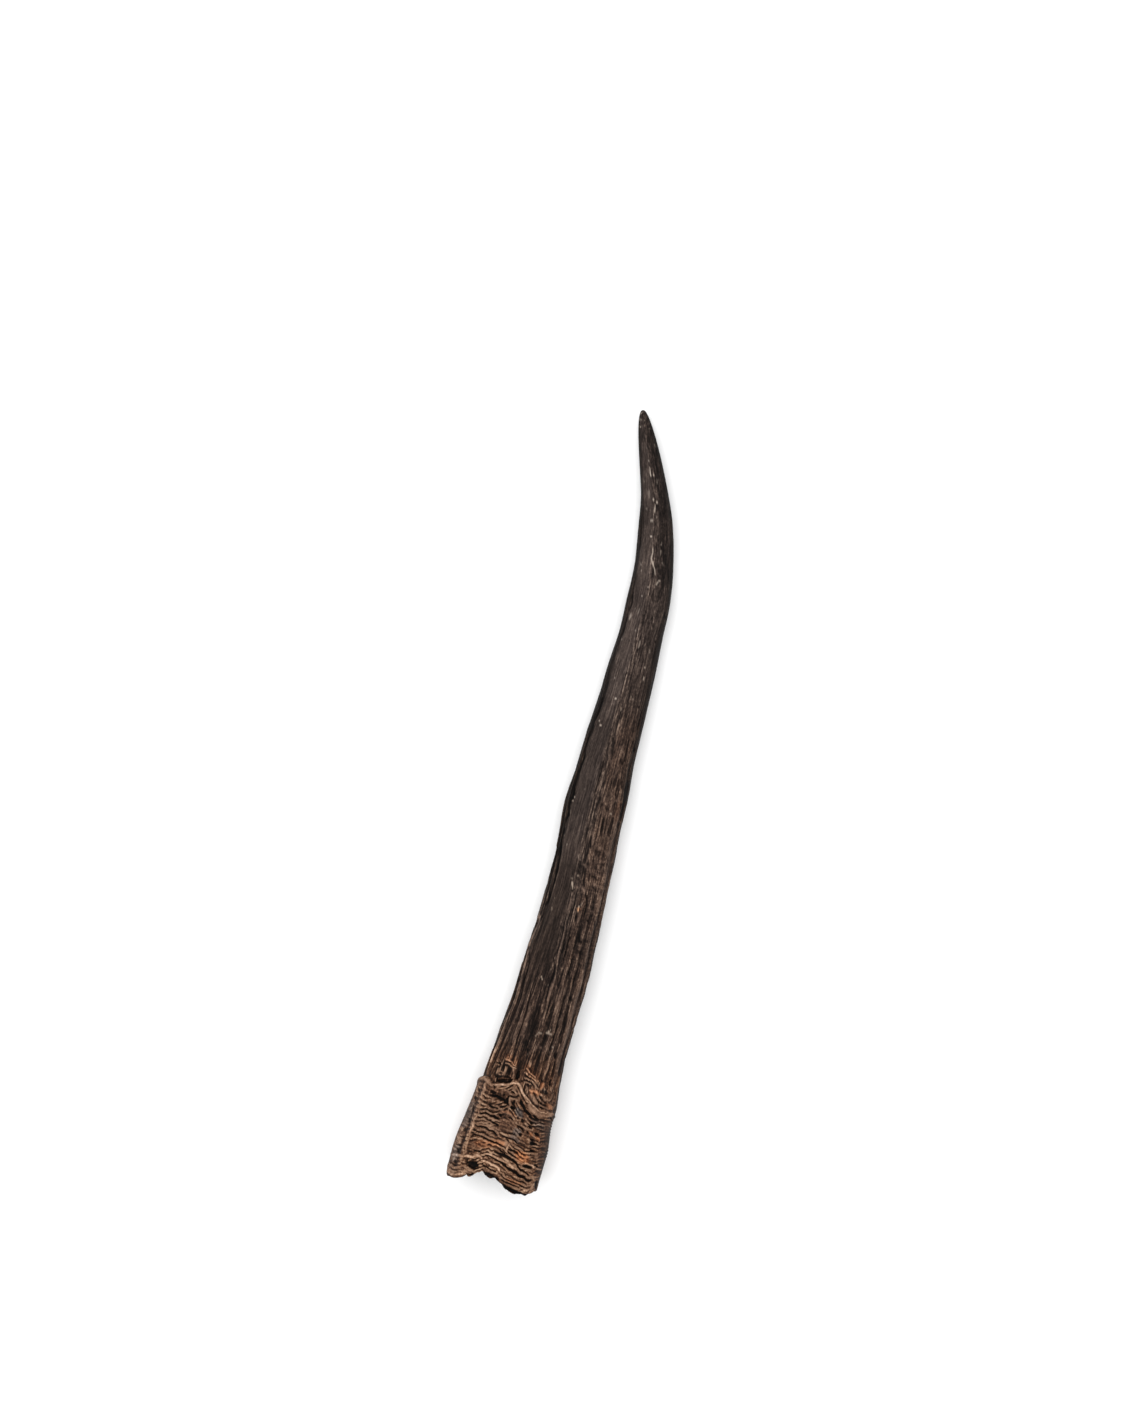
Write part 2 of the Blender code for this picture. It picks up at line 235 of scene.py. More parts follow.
# The shaft. Older keratin, worn and split along its fibres: a keel on top, a smooth grey
# facet left of it, and strong ridges with dark grooves down both edges. Fine curved
# layers fan out above the ledge on the right, and the fibres fade towards the tip.
# angle, height, half width in degrees, and where it begins and ends along the horn
RIDGES = [(96, 0.0005, 6, 0.050, 0.320), (128, -0.0004, 18, 0.055, 0.300),
          (143, -0.0004, 3, 0.050, 0.200), (151, 0.0006, 5, 0.052, 0.240),
          (160, -0.0007, 4, 0.050, 0.230), (169, 0.0006, 5, 0.050, 0.210),
          (177, -0.0005, 4, 0.050, 0.220), (120, 0.0004, 3, 0.050, 0.095),
          (128, -0.0004, 3, 0.052, 0.100), (135, 0.0005, 3, 0.050, 0.105),
          (108, -0.0005, 8, 0.050, 0.085), (86, -0.0005, 4, 0.050, 0.160),
          (76, 0.0005, 4, 0.052, 0.180), (67, -0.0006, 4, 0.055, 0.170),
          (59, 0.0003, 3, 0.055, 0.160), (52, -0.0006, 3, 0.050, 0.170),
          (41, 0.0006, 7, 0.050, 0.230), (29, -0.0005, 4, 0.050, 0.200),
          (18, 0.0005, 5, 0.050, 0.220), (8, -0.0005, 4, 0.050, 0.200),
          (200, -0.0005, 7, 0.050, 0.230), (216, 0.0005, 7, 0.050, 0.240),
          (318, 0.0005, 7, 0.050, 0.240), (338, -0.0005, 7, 0.050, 0.220),
          (137, 0.0008, 4, 0.012, 0.048), (146, -0.0004, 4, 0.010, 0.046),
          (222, 0.0006, 8, 0.014, 0.044)]
RIDGE_FADE = 0.006
LONG_RIDGE_FADE = 0.08
LONG_RIDGE_END = 0.1
KEEL_DRIFT = 9.0
LUMP_SEED = 11
LUMP_WAVES = 10
LUMP_HEIGHT = 0.00028
# how far each side stands out from the even taper: distance along, height
LEFT_SIDE = [(0.000, 0.0), (0.010, -0.0001), (0.022, 0.0006), (0.031, 0.0001),
             (0.042, -0.0010), (0.055, -0.0009), (0.064, -0.0004), (0.088, -0.0008),
             (0.112, -0.0001), (0.122, -0.0005), (0.133, -0.0012), (0.142, -0.0010),
             (0.151, -0.0002), (0.200, 0.0), (0.340, 0.0)]
RIGHT_SIDE = [(0.000, 0.0003), (0.025, 0.0010), (0.034, 0.0001), (0.044, 0.0010),
              (0.052, 0.0005), (0.063, 0.0008), (0.076, 0.0), (0.086, 0.0002),
              (0.099, 0.0015), (0.112, 0.0003), (0.130, 0.0), (0.144, 0.0006),
              (0.160, 0.0003), (0.172, 0.0005), (0.186, 0.0001), (0.204, 0.0006),
              (0.224, 0.0), (0.238, 0.0001), (0.256, 0.0010), (0.280, 0.0), (0.340, 0.0)]
SIDE_POWER = 1.5
COARSE_FIBRE_HEIGHT = 0.00014
FINE_FIBRE_HEIGHT = 0.00012
# the curved layers above the ledge: rise to a degree, spacing, height
FAN_LEAN = 0.00010
FAN_SPACING = 0.0013
FAN_HEIGHT = 0.00025


def bump(angles, centre, half_width_degrees):
    away = np.mod(angles - centre + 180.0, 360.0) - 180.0
    return np.exp(-((away / half_width_degrees) ** 2))


def shaft_height(angles, along):
    sway = 2.2 * patches(angles, along, 6, 0.035, 31) + 0.9 * patches(angles, along, 20, 0.012, 32)
    keel = between(60.0, 110.0, 12.0, angles)
    leaning = angles + sway + KEEL_DRIFT * (1.0 - smoothstep(0.070, 0.125, along)) * keel
    height = np.zeros_like(along)
    for number, (centre, peak, width, first, last) in enumerate(RIDGES):
        ease = LONG_RIDGE_FADE if last > LONG_RIDGE_END else RIDGE_FADE
        fade = (smoothstep(first - RIDGE_FADE, first + RIDGE_FADE, along)
                * (1.0 - smoothstep(last - ease, last, along)))
        varying = 0.6 + 0.4 * patches(angles, along, 8, 0.018, 40 + number)
        height += peak * fade * varying * bump(leaning, centre, width)
    return height


def lump_height(angles, along):
    """The slow swellings of the solid, which close on themselves round the horn."""
    chance = np.random.RandomState(LUMP_SEED)
    cosine, sine = np.cos(np.radians(angles)), np.sin(np.radians(angles))
    height = np.zeros_like(along)
    for _ in range(LUMP_WAVES):
        sideways, upright = chance.uniform(-3.0, 3.0, 2)
        rate, phase = chance.uniform(60.0, 260.0), chance.uniform(0.0, 6.28)
        height += np.sin(sideways * cosine + upright * sine + rate * along + phase)
    fade = 1.0 - smoothstep(0.85, 1.0, along / HORN_LENGTH)
    return LUMP_HEIGHT * fade * height / np.sqrt(LUMP_WAVES / 2.0)


def side_height(angles, along):
    """What makes the outline uneven: both sides swell and shrink along the horn."""
    cosine = np.cos(np.radians(angles))
    right = np.clip(cosine, 0.0, 1.0) ** SIDE_POWER * curve_through(RIGHT_SIDE, along)
    left = np.clip(-cosine, 0.0, 1.0) ** SIDE_POWER * curve_through(LEFT_SIDE, along)
    return left + right


def flush_height(angles, along, ledge):
    """What hides the ledge's step on the right, where the layers past it lie as high."""
    right = np.clip(np.cos(np.radians(angles)), 0.0, 1.0) ** SIDE_POWER
    past = smoothstep(*LEDGE_STEP, along - ledge)
    return LEDGE_HEIGHT * right * past * (1.0 - smoothstep(*FLUSH_RANGE, along))


def facet(angles, along):
    """Where the smooth grey facet is, left of the keel."""
    return between(99.0, 145.0, 5.0, angles) * smoothstep(0.075, 0.115, along)


def fibre_height(angles, along, ledge):
    sway = 3.0 * patches(angles, along, 8, 0.02, 61)
    coarse = 1.0 - 2.0 * np.abs(patches(angles + sway, along, 60, 0.016, 62))
    middle = 1.0 - 2.0 * np.abs(patches(angles + sway, along, 110, 0.009, 63))
    past = smoothstep(0.0, 0.004, along - ledge)
    rough = 1.0 - 0.8 * facet(angles, along)
    rough *= 1.0 - 0.45 * smoothstep(0.15, 0.25, along)
    rough *= 1.0 - smoothstep(0.30, 0.335, along)
    height = past * rough * (COARSE_FIBRE_HEIGHT * coarse + FINE_FIBRE_HEIGHT * middle)
    fan = along - FAN_LEAN * (angles - 30.0) + 0.0006 * patches(angles, along, 24, 0.006, 64)
    fan_part = between(18.0, 84.0, 8.0, angles) * (1.0 - smoothstep(0.050, 0.060, along))
    return height + past * fan_part * FAN_HEIGHT * (shingles(fan / FAN_SPACING, 0.3) - 0.4)


# The hollow. The bone core that filled it is gone, so the open base shows the bare inner
# wall, smooth but for fine lengthwise furrows, narrowing to a rounded blind end.
HOLLOW_DEPTH = 0.190
HOLLOW_ROUNDNESS = 2.15
# the hollow narrows as one minus the share of its depth to one power, all to another
HOLLOW_TAPER_POWERS = (3, 0.6)
WALL_AT_RIM = 0.0016
WALL_INSIDE = 0.0030
WALL_GROWTH = 0.050
COLLAR_WIDENING = (0.030, 0.050)
FURROW_DEPTH = 0.00022


def oval(angles, half_across, half_up, top_roundness, belly_roundness):
    cosine, sine = np.cos(np.radians(angles)), np.sin(np.radians(angles))
    power = 2.0 / np.where(sine >= 0.0, top_roundness, belly_roundness)
    return (half_across * np.sign(cosine) * np.abs(cosine) ** power,
            half_up * np.sign(sine) * np.abs(sine) ** power)


def hollow_ring(angles, along):
    wall = WALL_AT_RIM + (WALL_INSIDE - WALL_AT_RIM) * smoothstep(0.0, WALL_GROWTH, along)
    widening = LEDGE_HEIGHT * (1.0 - smoothstep(*COLLAR_WIDENING, along)) - wall
    widening -= FURROW_DEPTH * (0.5 + patches(angles, along, 70, 0.014, 71))
    first_power, second_power = HOLLOW_TAPER_POWERS
    taper = np.clip(1.0 - (along / HOLLOW_DEPTH) ** first_power, 0.0, 1.0) ** second_power
    across, up = oval(angles, (half_width(along) + widening) * taper,
                      (half_width(along) * height_ratio(along) + widening) * taper,
                      HOLLOW_ROUNDNESS, HOLLOW_ROUNDNESS)
    points = place(along, across, up)
    points[..., 2] = np.maximum(points[..., 2], wall)
    return points


# Marks on the top. Ribs, gaps, flecks and stains that make this horn its own, drawn
# as strokes on the view from above. Each is a strength in hundredths, a half width in
# hundredths of a mm, and then its points: the share of the horn's half width in hundredths,
# from -100 at the left edge to 100 at the right, and the tenths of a mm along the horn.

# the collar's pale crests: the scalloped ledge, the lip and the broken edges of its rings
COLLAR_RIBS = [
    (85, 40, -55, 462, -40, 470, -30, 476, -20, 486, -5, 496, 3, 492, 10, 478, 15, 464, 22, 452, 32, 442,
     42, 432, 50, 422), (52, 95, 36, 423, 45, 411, 55, 402, 70, 397, 82, 402, 90, 412),
    (70, 20, 44, 430, 52, 418, 62, 410, 76, 407, 90, 418),
    (60, 18, 36, 419, 46, 406, 56, 397, 70, 392, 84, 396), (55, 30, -50, 440, -48, 456, -42, 462),
    (45, 35, -33, 430, -36, 446, -30, 455, -20, 449, -10, 441, 2, 447, 6, 456, 5, 470),
    (45, 30, 12, 444, 12, 428, 5, 426, -5, 429, -12, 426, -10, 410, -7, 395, -9, 384, -6, 368),
    (35, 25, 12, 428, 6, 418, 2, 410), (40, 80, -12, 469, -2, 467), (45, 60, -50, 398),
    (50, 70, -38, 396, -34, 394), (50, 50, -97, 466, -88, 472, -80, 470, -70, 458, -62, 452),
    (75, 22, -76, 136, -72, 162, -75, 190, -72, 224),
    (85, 26, -73, 214, -76, 242, -72, 270, -76, 296, -73, 318),
    (70, 21, -75, 310, -71, 334, -76, 360, -72, 382),
    (75, 24, -72, 384, -78, 406, -74, 430, -79, 452, -75, 470), (30, 16, -82, 150, -79, 200),
    (35, 16, -80, 270, -82, 330), (60, 26, -70, 325, -50, 326, -30, 322, -18, 323),
    (50, 30, -70, 305, -50, 309, -30, 303), (50, 24, -68, 292, -45, 294, -28, 291, -10, 284),
    (45, 25, -68, 345, -45, 344, -28, 338), (40, 25, -62, 366, -45, 363, -30, 360),
    (45, 40, -45, 380, -35, 374, -20, 367, -10, 362, 0, 358, 10, 348),
    (55, 32, -68, 282, -45, 286, -25, 282, -15, 274, -10, 260),
    (45, 28, -68, 264, -50, 267, -35, 264, -22, 256), (50, 36, -66, 246, -50, 246, -30, 242, -12, 239),
    (60, 75, -10, 238, 5, 236, 10, 243), (75, 28, -40, 226, -25, 223, -10, 220, 3, 214),
    (45, 28, -50, 214, -35, 210, -20, 205, -6, 199), (35, 25, -68, 196, -50, 198, -30, 194),
    (75, 34, 17, 242, 13, 226, 12, 209, 17, 202), (60, 28, 20, 241, 34, 235, 50, 226),
    (55, 25, 20, 214, 32, 206, 42, 199), (65, 26, 20, 196, 30, 193, 42, 186, 52, 181),
    (80, 34, -30, 174, -10, 171, 10, 166, 22, 164), (75, 55, 25, 163, 32, 154, 40, 146),
    (55, 30, 38, 163, 48, 148, 60, 135, 75, 129, 88, 133, 97, 146),
    (85, 30, 52, 173, 58, 180, 67, 182, 77, 176, 80, 169), (60, 28, 80, 169, 87, 172, 96, 174),
    (50, 26, 52, 171, 58, 161, 70, 157, 80, 162), (90, 45, -72, 143, -60, 146, -50, 146),
    (75, 50, -97, 133, -85, 136, -74, 140), (80, 52, -52, 150, -44, 156, -34, 153),
    (95, 36, -34, 143, -20, 141, -5, 138, 5, 134, 9, 126, 10, 120), (45, 30, -30, 112, -15, 110, 0, 103),
    (50, 25, 14, 129, 25, 118, 36, 110, 50, 106, 65, 104, 76, 106),
    (60, 28, 13, 116, 20, 105, 30, 98, 45, 96, 60, 93, 72, 90, 80, 94, 83, 104),
    (50, 24, 12, 102, 20, 92, 30, 87, 45, 83, 60, 79, 70, 75), (40, 22, 20, 80, 35, 73, 50, 69, 62, 66),
    (100, 55, 76, 71), (65, 32, 76, 72, 84, 80, 86, 92, 84, 102),
    (62, 105, -95, 60, -80, 63, -68, 72, -58, 80), (50, 50, -97, 84, -85, 82, -74, 90),
    (80, 22, -96, 54, -86, 52, -74, 59, -62, 68, -52, 70), (70, 20, -60, 90, -50, 89, -42, 82, -44, 74),
    (60, 35, -70, 96, -60, 92, -45, 92), (65, 28, 55, 315, 60, 306, 68, 298, 78, 294, 80, 282),
    (45, 26, 0, 294, 12, 294, 22, 292, 32, 286, 40, 270),
    (40, 22, 5, 274, 20, 272, 35, 266, 50, 260, 60, 250), (40, 20, 2, 270, 15, 268, 30, 262),
    (35, 22, 28, 380, 35, 372, 50, 362, 65, 360, 90, 356), (35, 22, 38, 372, 42, 350, 44, 334, 44, 310),
    (35, 22, 5, 334, 20, 330, 35, 324, 44, 322, 60, 322),
    (40, 25, 5, 318, 15, 312, 25, 303, 40, 297, 55, 296), (60, 50, 55, 202, 62, 210, 68, 214),
    (50, 40, 56, 190, 60, 196), (45, 35, 68, 226, 78, 226, 82, 200)]
# dark gaps between the collar's rings
COLLAR_GAPS = [
    (90, 32, -68, 334, -50, 335, -35, 333, -25, 330), (60, 25, -68, 352, -45, 352, -32, 348),
    (60, 20, -62, 374, -45, 372, -33, 367), (80, 35, -25, 349, -18, 342), (80, 22, 0, 347, 8, 340),
    (75, 25, -70, 315, -50, 316, -35, 312, -25, 308, -20, 301), (80, 35, -24, 306, -20, 302),
    (85, 35, 25, 320, 34, 314, 40, 308), (90, 60, 32, 292, 37, 286), (80, 35, 48, 311, 52, 308),
    (80, 40, 68, 311, 76, 308), (85, 50, 60, 285, 68, 282), (60, 80, 62, 270, 70, 264),
    (80, 25, 68, 270, 76, 268), (75, 28, -68, 275, -50, 278, -40, 276, -25, 274, -18, 266),
    (85, 35, -48, 277, -38, 275), (60, 26, -70, 255, -50, 257, -35, 252, -28, 249),
    (80, 28, -70, 232, -62, 239, -50, 238, -40, 235, -25, 231, -10, 226, 5, 223),
    (90, 35, -46, 237, -36, 234), (85, 28, -55, 174, -45, 174, -35, 172),
    (85, 26, -28, 168, -10, 162, 5, 159, 14, 157), (90, 55, -8, 188, 5, 187, 20, 186, 34, 180, 42, 173),
    (80, 28, -2, 204, 6, 198, 13, 192), (85, 35, 17, 220, 30, 217, 40, 210),
    (75, 25, 17, 206, 30, 200, 37, 197), (80, 35, 42, 172, 50, 156, 62, 144, 75, 139),
    (95, 55, 10, 157, 17, 153, 22, 148),
    (90, 50, 24, 144, 33, 138, 42, 133, 50, 129, 60, 122, 72, 115, 83, 117),
    (95, 55, 58, 166, 67, 169, 76, 166), (65, 20, 2, 285, 15, 284, 25, 279),
    (70, 25, 2, 263, 15, 261, 28, 256, 36, 253), (65, 22, 7, 255, 12, 248),
    (70, 24, 20, 122, 28, 114, 42, 109, 60, 101, 73, 99),
    (80, 25, 16, 109, 24, 96, 35, 92, 50, 89, 62, 85, 72, 83), (75, 25, 20, 88, 30, 81, 45, 77, 60, 72),
    (80, 55, 20, 69, 35, 60, 55, 53, 75, 50, 88, 57, 97, 69), (60, 50, 95, 90, 93, 120),
    (70, 40, 80, 184, 86, 180), (75, 35, 64, 240, 72, 235, 78, 234),
    (80, 24, -30, 132, -28, 124, -20, 121, -5, 116, 5, 111), (60, 110, -60, 118, -42, 116),
    (95, 35, -62, 106, -50, 103, -38, 104), (75, 25, -66, 128, -66, 108), (40, 40, -89, 114, -88, 102),
    (70, 90, -24, 94, -10, 89, 2, 84, 12, 82), (85, 30, -60, 75, -54, 72, -47, 76, -45, 83, -49, 87),
    (60, 20, -93, 80, -84, 73, -74, 76, -66, 84), (50, 18, -90, 63, -80, 62, -70, 70),
    (55, 24, -97, 96, -84, 94), (35, 16, 42, 424, 50, 412, 60, 404, 74, 401, 86, 406),
    (30, 14, -78, 146, -75, 196, -78, 246), (30, 14, -78, 276, -77, 310), (55, 30, -93, 181, -85, 183),
    (50, 25, -90, 162, -88, 150), (50, 25, -92, 212, -84, 217), (45, 30, -90, 350, -87, 330),
    (40, 30, -90, 300, -87, 280), (45, 35, -90, 425, -88, 410), (50, 30, -90, 250, -88, 235),
    (45, 30, -93, 390, -90, 370), (90, 30, -12, 437, 0, 436, 7, 446),
    (90, 38, -16, 432, -17, 416, -15, 400), (85, 55, -22, 408, -14, 402),
    (70, 50, -60, 412, -40, 413, -25, 410), (90, 40, 0, 416, -2, 402), (90, 55, -4, 388, 6, 386),
    (75, 50, 16, 428, 20, 416, 26, 406, 33, 396, 42, 387, 50, 384), (60, 40, 55, 383, 66, 376),
    (60, 25, 45, 374, 50, 379), (80, 25, -13, 456, -5, 453), (60, 60, -62, 430, -50, 426),
    (60, 30, -28, 434, -30, 424), (65, 30, -58, 456, -56, 448), (70, 60, 30, 353, 33, 346),
    (70, 50, 54, 352, 56, 346), (55, 40, 20, 354), (60, 35, 50, 333, 58, 330), (60, 35, 90, 398, 93, 390)]
# pale fibres of the shaft, with the fans of layers above the ledge
SHAFT_RIBS = [
    (45, 22, -20, 498, -22, 515, -27, 532, -30, 550), (35, 22, -47, 505, -46, 545),
    (40, 25, -60, 510, -60, 545, -60, 580), (62, 30, -55, 573, -38, 570, -25, 556),
    (58, 30, -50, 560, -35, 554, -22, 546), (50, 24, -72, 558, -60, 556), (45, 24, -50, 506, -48, 544),
    (45, 30, -66, 534, -66, 504), (35, 20, -65, 510, -50, 508), (35, 20, -64, 522, -50, 519),
    (40, 25, -74, 544, -68, 542), (60, 28, 7, 562, 15, 554, 25, 548, 40, 532, 50, 520),
    (60, 28, 6, 546, 20, 538, 30, 532, 42, 520, 50, 510),
    (55, 26, 8, 526, 18, 524, 30, 518, 40, 506, 50, 498), (60, 24, 10, 510, 22, 508, 30, 502),
    (45, 25, 20, 494, 26, 482, 28, 460), (60, 40, 56, 494, 60, 508, 62, 525),
    (34, 24, 55, 440, 66, 432, 78, 428, 92, 436, 96, 460), (40, 22, 44, 496, 50, 472, 60, 454, 70, 447),
    (35, 22, 88, 454, 93, 490), (34, 20, 68, 466, 76, 462, 84, 470, 87, 496), (40, 22, 64, 510, 70, 484),
    (60, 50, 32, 482, 50, 477, 65, 471), (45, 70, 38, 466, 50, 450, 56, 436), (45, 80, 82, 444, 90, 434),
    (40, 30, 70, 458, 80, 464, 86, 474), (80, 30, -89, 540, -91, 600, -89, 650),
    (75, 27, -90, 670, -92, 790), (75, 28, -89, 810, -90, 980, -92, 1040), (70, 24, -93, 1060, -95, 1200),
    (30, 22, -76, 600, -74, 680, -70, 760, -66, 860), (40, 60, -55, 780, -54, 720, -54, 650),
    (30, 30, -62, 720, -63, 660, -62, 600), (38, 60, -40, 820, -38, 780, -37, 740, -36, 690),
    (60, 55, -35, 734), (55, 28, 2, 1000, 5, 960, 5, 920, 6, 880, 7, 840, 9, 790, 10, 760),
    (55, 30, -4, 1180, -3, 1120, -2, 1060, 0, 1030, 2, 1000), (45, 35, -10, 1300, -10, 1240),
    (45, 30, 33, 980, 35, 920, 33, 860, 36, 820, 37, 785),
    (45, 28, 36, 726, 38, 700, 40, 680, 48, 660, 60, 650, 68, 644), (35, 28, 16, 670, 24, 660, 36, 656),
    (45, 35, 0, 632, 10, 640, 14, 652, 12, 664),
    (35, 90, 81, 1000, 82, 920, 83, 860, 80, 800, 82, 720, 84, 600), (45, 28, 60, 605, 60, 570, 59, 540),
    (50, 30, 14, 600, 13, 570), (35, 35, 55, 820, 53, 785), (35, 40, 45, 970, 45, 900),
    (30, 30, 14, 1250, 13, 1180), (30, 30, 55, 1220, 50, 1170), (35, 60, 80, 1060, 80, 1120),
    (40, 35, 30, 1260, 28, 1210), (40, 32, -3, 1380, -2, 1335),
    (50, 32, 0, 1356, 10, 1358, 18, 1354, 24, 1344, 29, 1334),
    (45, 32, -5, 1454, 10, 1450, 20, 1444, 30, 1432, 33, 1420), (40, 35, 42, 1428, 55, 1418, 62, 1422),
    (60, 60, 50, 1388, 55, 1374), (35, 22, 50, 1286, 58, 1274, 66, 1266), (30, 45, 75, 1340, 76, 1280),
    (30, 50, 80, 1650, 79, 1580, 76, 1500), (45, 28, 62, 1744, 70, 1750, 80, 1744, 84, 1770),
    (30, 30, 80, 1720, 80, 1670), (35, 25, 25, 1534, 36, 1542, 50, 1538, 62, 1528, 70, 1510),
    (45, 26, 30, 1970, 40, 1962, 50, 1949, 53, 1938),
    (40, 20, 12, 1892, 16, 1901, 22, 1898, 23, 1887, 15, 1880),
    (30, 22, 31, 1930, 42, 1905, 42, 1870, 38, 1840), (40, 28, 10, 1786, 10, 1750),
    (30, 25, 4, 1940, 5, 1900), (35, 26, 14, 2010, 15, 1980), (35, 30, 4, 1585, 6, 1555),
    (35, 28, 15, 1590, 20, 1550), (30, 35, 28, 1655, 32, 1610)]
# dark splits of the shaft
SHAFT_GAPS = [
    (75, 26, 42, 480, 48, 462, 57, 448, 68, 439, 80, 437), (80, 26, 54, 478, 63, 461, 72, 455),
    (60, 22, 84, 459, 90, 482), (95, 80, -60, 480, -40, 486, -28, 488, -23, 496),
    (80, 60, -42, 500, -30, 500), (75, 28, -36, 508, -38, 536), (70, 25, -52, 520, -52, 548),
    (75, 50, -73, 551, -65, 551), (60, 25, -75, 526, -77, 498), (100, 30, -52, 566, -36, 562, -24, 551),
    (60, 35, -60, 486, -66, 496), (90, 70, -10, 540, -10, 514), (80, 35, 0, 507, 6, 511),
    (90, 28, 16, 547, 32, 538, 45, 524), (90, 26, 10, 536, 20, 531, 36, 520),
    (90, 26, 8, 517, 20, 516, 32, 508, 40, 496), (60, 30, 40, 524, 52, 504), (65, 25, 20, 504, 30, 496),
    (60, 22, 14, 496, 20, 474), (75, 40, 54, 535, 60, 530), (90, 45, 75, 550, 77, 526),
    (50, 100, 70, 494, 74, 486), (60, 25, 70, 453, 78, 450), (65, 25, 74, 440, 80, 442),
    (80, 35, 66, 425, 73, 423), (50, 40, 50, 558, 55, 552), (60, 30, 76, 585, 75, 560),
    (80, 28, -98, 550, -98, 750, -97, 950, -99, 1200),
    (55, 28, -79, 600, -80, 680, -79, 760, -76, 840, -82, 900, -80, 950, -82, 990, -86, 1060, -89, 1140,
     -87, 1200, -85, 1260), (95, 42, -86, 1240, -83, 1310, -82, 1380, -82, 1450, -84, 1510),
    (80, 35, -85, 1500, -86, 1600, -86, 1700, -85, 1800, -83, 1900),
    (60, 40, -84, 1880, -86, 2000, -85, 2150), (60, 50, -97, 1300, -97, 1500),
    (85, 26, -47, 880, -46, 800, -46, 760, -47, 720, -45, 680, -43, 640, -41, 600),
    (50, 22, -70, 720, -70, 640, -72, 570), (50, 22, -60, 760, -58, 690, -56, 640),
    (25, 170, -14, 820, -14, 760, -12, 700, -15, 660, -10, 620, -12, 570, -9, 530),
    (60, 110, -20, 670, -16, 654), (80, 50, -8, 644, -6, 632),
    (85, 26, -3, 1020, -3, 960, -1, 900, 2, 840, 4, 780),
    (60, 30, -10, 1180, -11, 1120, -10, 1080, -12, 1040, -6, 1000), (60, 50, -22, 1230),
    (50, 50, -19, 1175), (50, 50, 14, 970, 20, 930), (60, 24, 12, 880, 14, 820, 14, 780),
    (50, 40, 24, 860, 22, 820), (60, 24, 3, 1170, 5, 1120, 6, 1070),
    (85, 28, 15, 1150, 15, 1100, 15, 1050), (85, 30, 44, 1070, 45, 1022), (85, 35, 44, 1010, 45, 986),
    (90, 38, 44, 1160, 47, 1136, 58, 1131), (50, 120, 54, 1094, 58, 1086), (80, 55, 20, 1240, 18, 1218),
    (80, 40, 53, 1226, 58, 1224), (85, 28, 49, 900, 50, 840, 50, 800), (95, 32, 51, 774, 52, 744),
    (90, 50, 66, 904, 68, 890), (75, 32, 68, 860, 69, 800, 71, 750, 72, 700), (95, 65, 71, 662, 73, 640),
    (75, 40, 75, 630, 77, 586), (65, 35, 63, 985, 62, 950), (55, 26, 88, 980, 90, 920, 87, 860, 88, 800),
    (60, 28, 91, 780, 90, 720, 93, 640, 94, 580), (75, 30, 98, 580, 98.5, 1000),
    (55, 30, 28, 720, 30, 700), (45, 30, 25, 630, 34, 624), (50, 25, 6, 706, 8, 680),
    (50, 30, 45, 722, 52, 725), (60, 35, 15, 1394, 18, 1374, 23, 1362),
    (60, 32, 33, 1414, 45, 1412, 55, 1400), (80, 40, 49, 1434, 53, 1432),
    (70, 45, 30, 1336, 36, 1324, 40, 1306), (65, 30, 48, 1366, 60, 1360), (60, 25, 43, 1300, 45, 1240),
    (60, 22, 3, 1290, 6, 1220), (60, 35, 86, 1360, 88, 1300, 86, 1240), (60, 30, 77, 1228, 80, 1210),
    (55, 25, 17, 1470, 20, 1435), (55, 25, 30, 1420, 30, 1385), (60, 30, -10, 1342, -10, 1330),
    (50, 25, 34, 1490, 36, 1455), (60, 35, 70, 1470, 60, 1456), (70, 32, 10, 1580, 10, 1550, 13, 1524),
    (70, 40, 65, 1670, 64, 1630, 66, 1594), (65, 32, 37, 1660, 38, 1620, 39, 1585),
    (60, 28, 50, 1664, 48, 1636, 50, 1600), (55, 30, 20, 1720, 18, 1700),
    (35, 35, -10, 1900, -8, 1840, -10, 1760, -11, 1680), (40, 120, 47, 1914, 54, 1906),
    (45, 120, 38, 1518, 46, 1510), (35, 90, 36, 1710, 42, 1694), (80, 32, 57, 1840, 58, 1796, 61, 1756),
    (65, 24, 33, 1820, 36, 1786), (65, 30, 57, 2010, 58, 1960, 60, 1900), (60, 35, 9, 1887, 12, 1877),
    (75, 55, 90, 1840, 91, 1760, 90, 1670), (60, 45, 86, 1660, 87, 1636), (60, 30, 83, 1984, 87, 1966),
    (50, 25, 70, 2006, 75, 2003), (50, 30, 80, 2140, 80, 2060), (50, 30, 44, 1840, 46, 1796),
    (50, 26, 70, 1830, 71, 1800), (45, 25, 24, 1680, 22, 1630), (60, 35, -18, 2460, -14, 2410, -10, 2380),
    (50, 35, 17, 2645, 19, 2595), (65, 50, 70, 2438, 74, 2432), (50, 30, -15, 2276, -20, 2266),
    (50, 45, 62, 2156, 66, 2146), (45, 30, 36, 2530, 40, 2490), (50, 25, 80, 2550, 90, 2540),
    (45, 25, -80, 2620, -80, 2500, -82, 2380)]
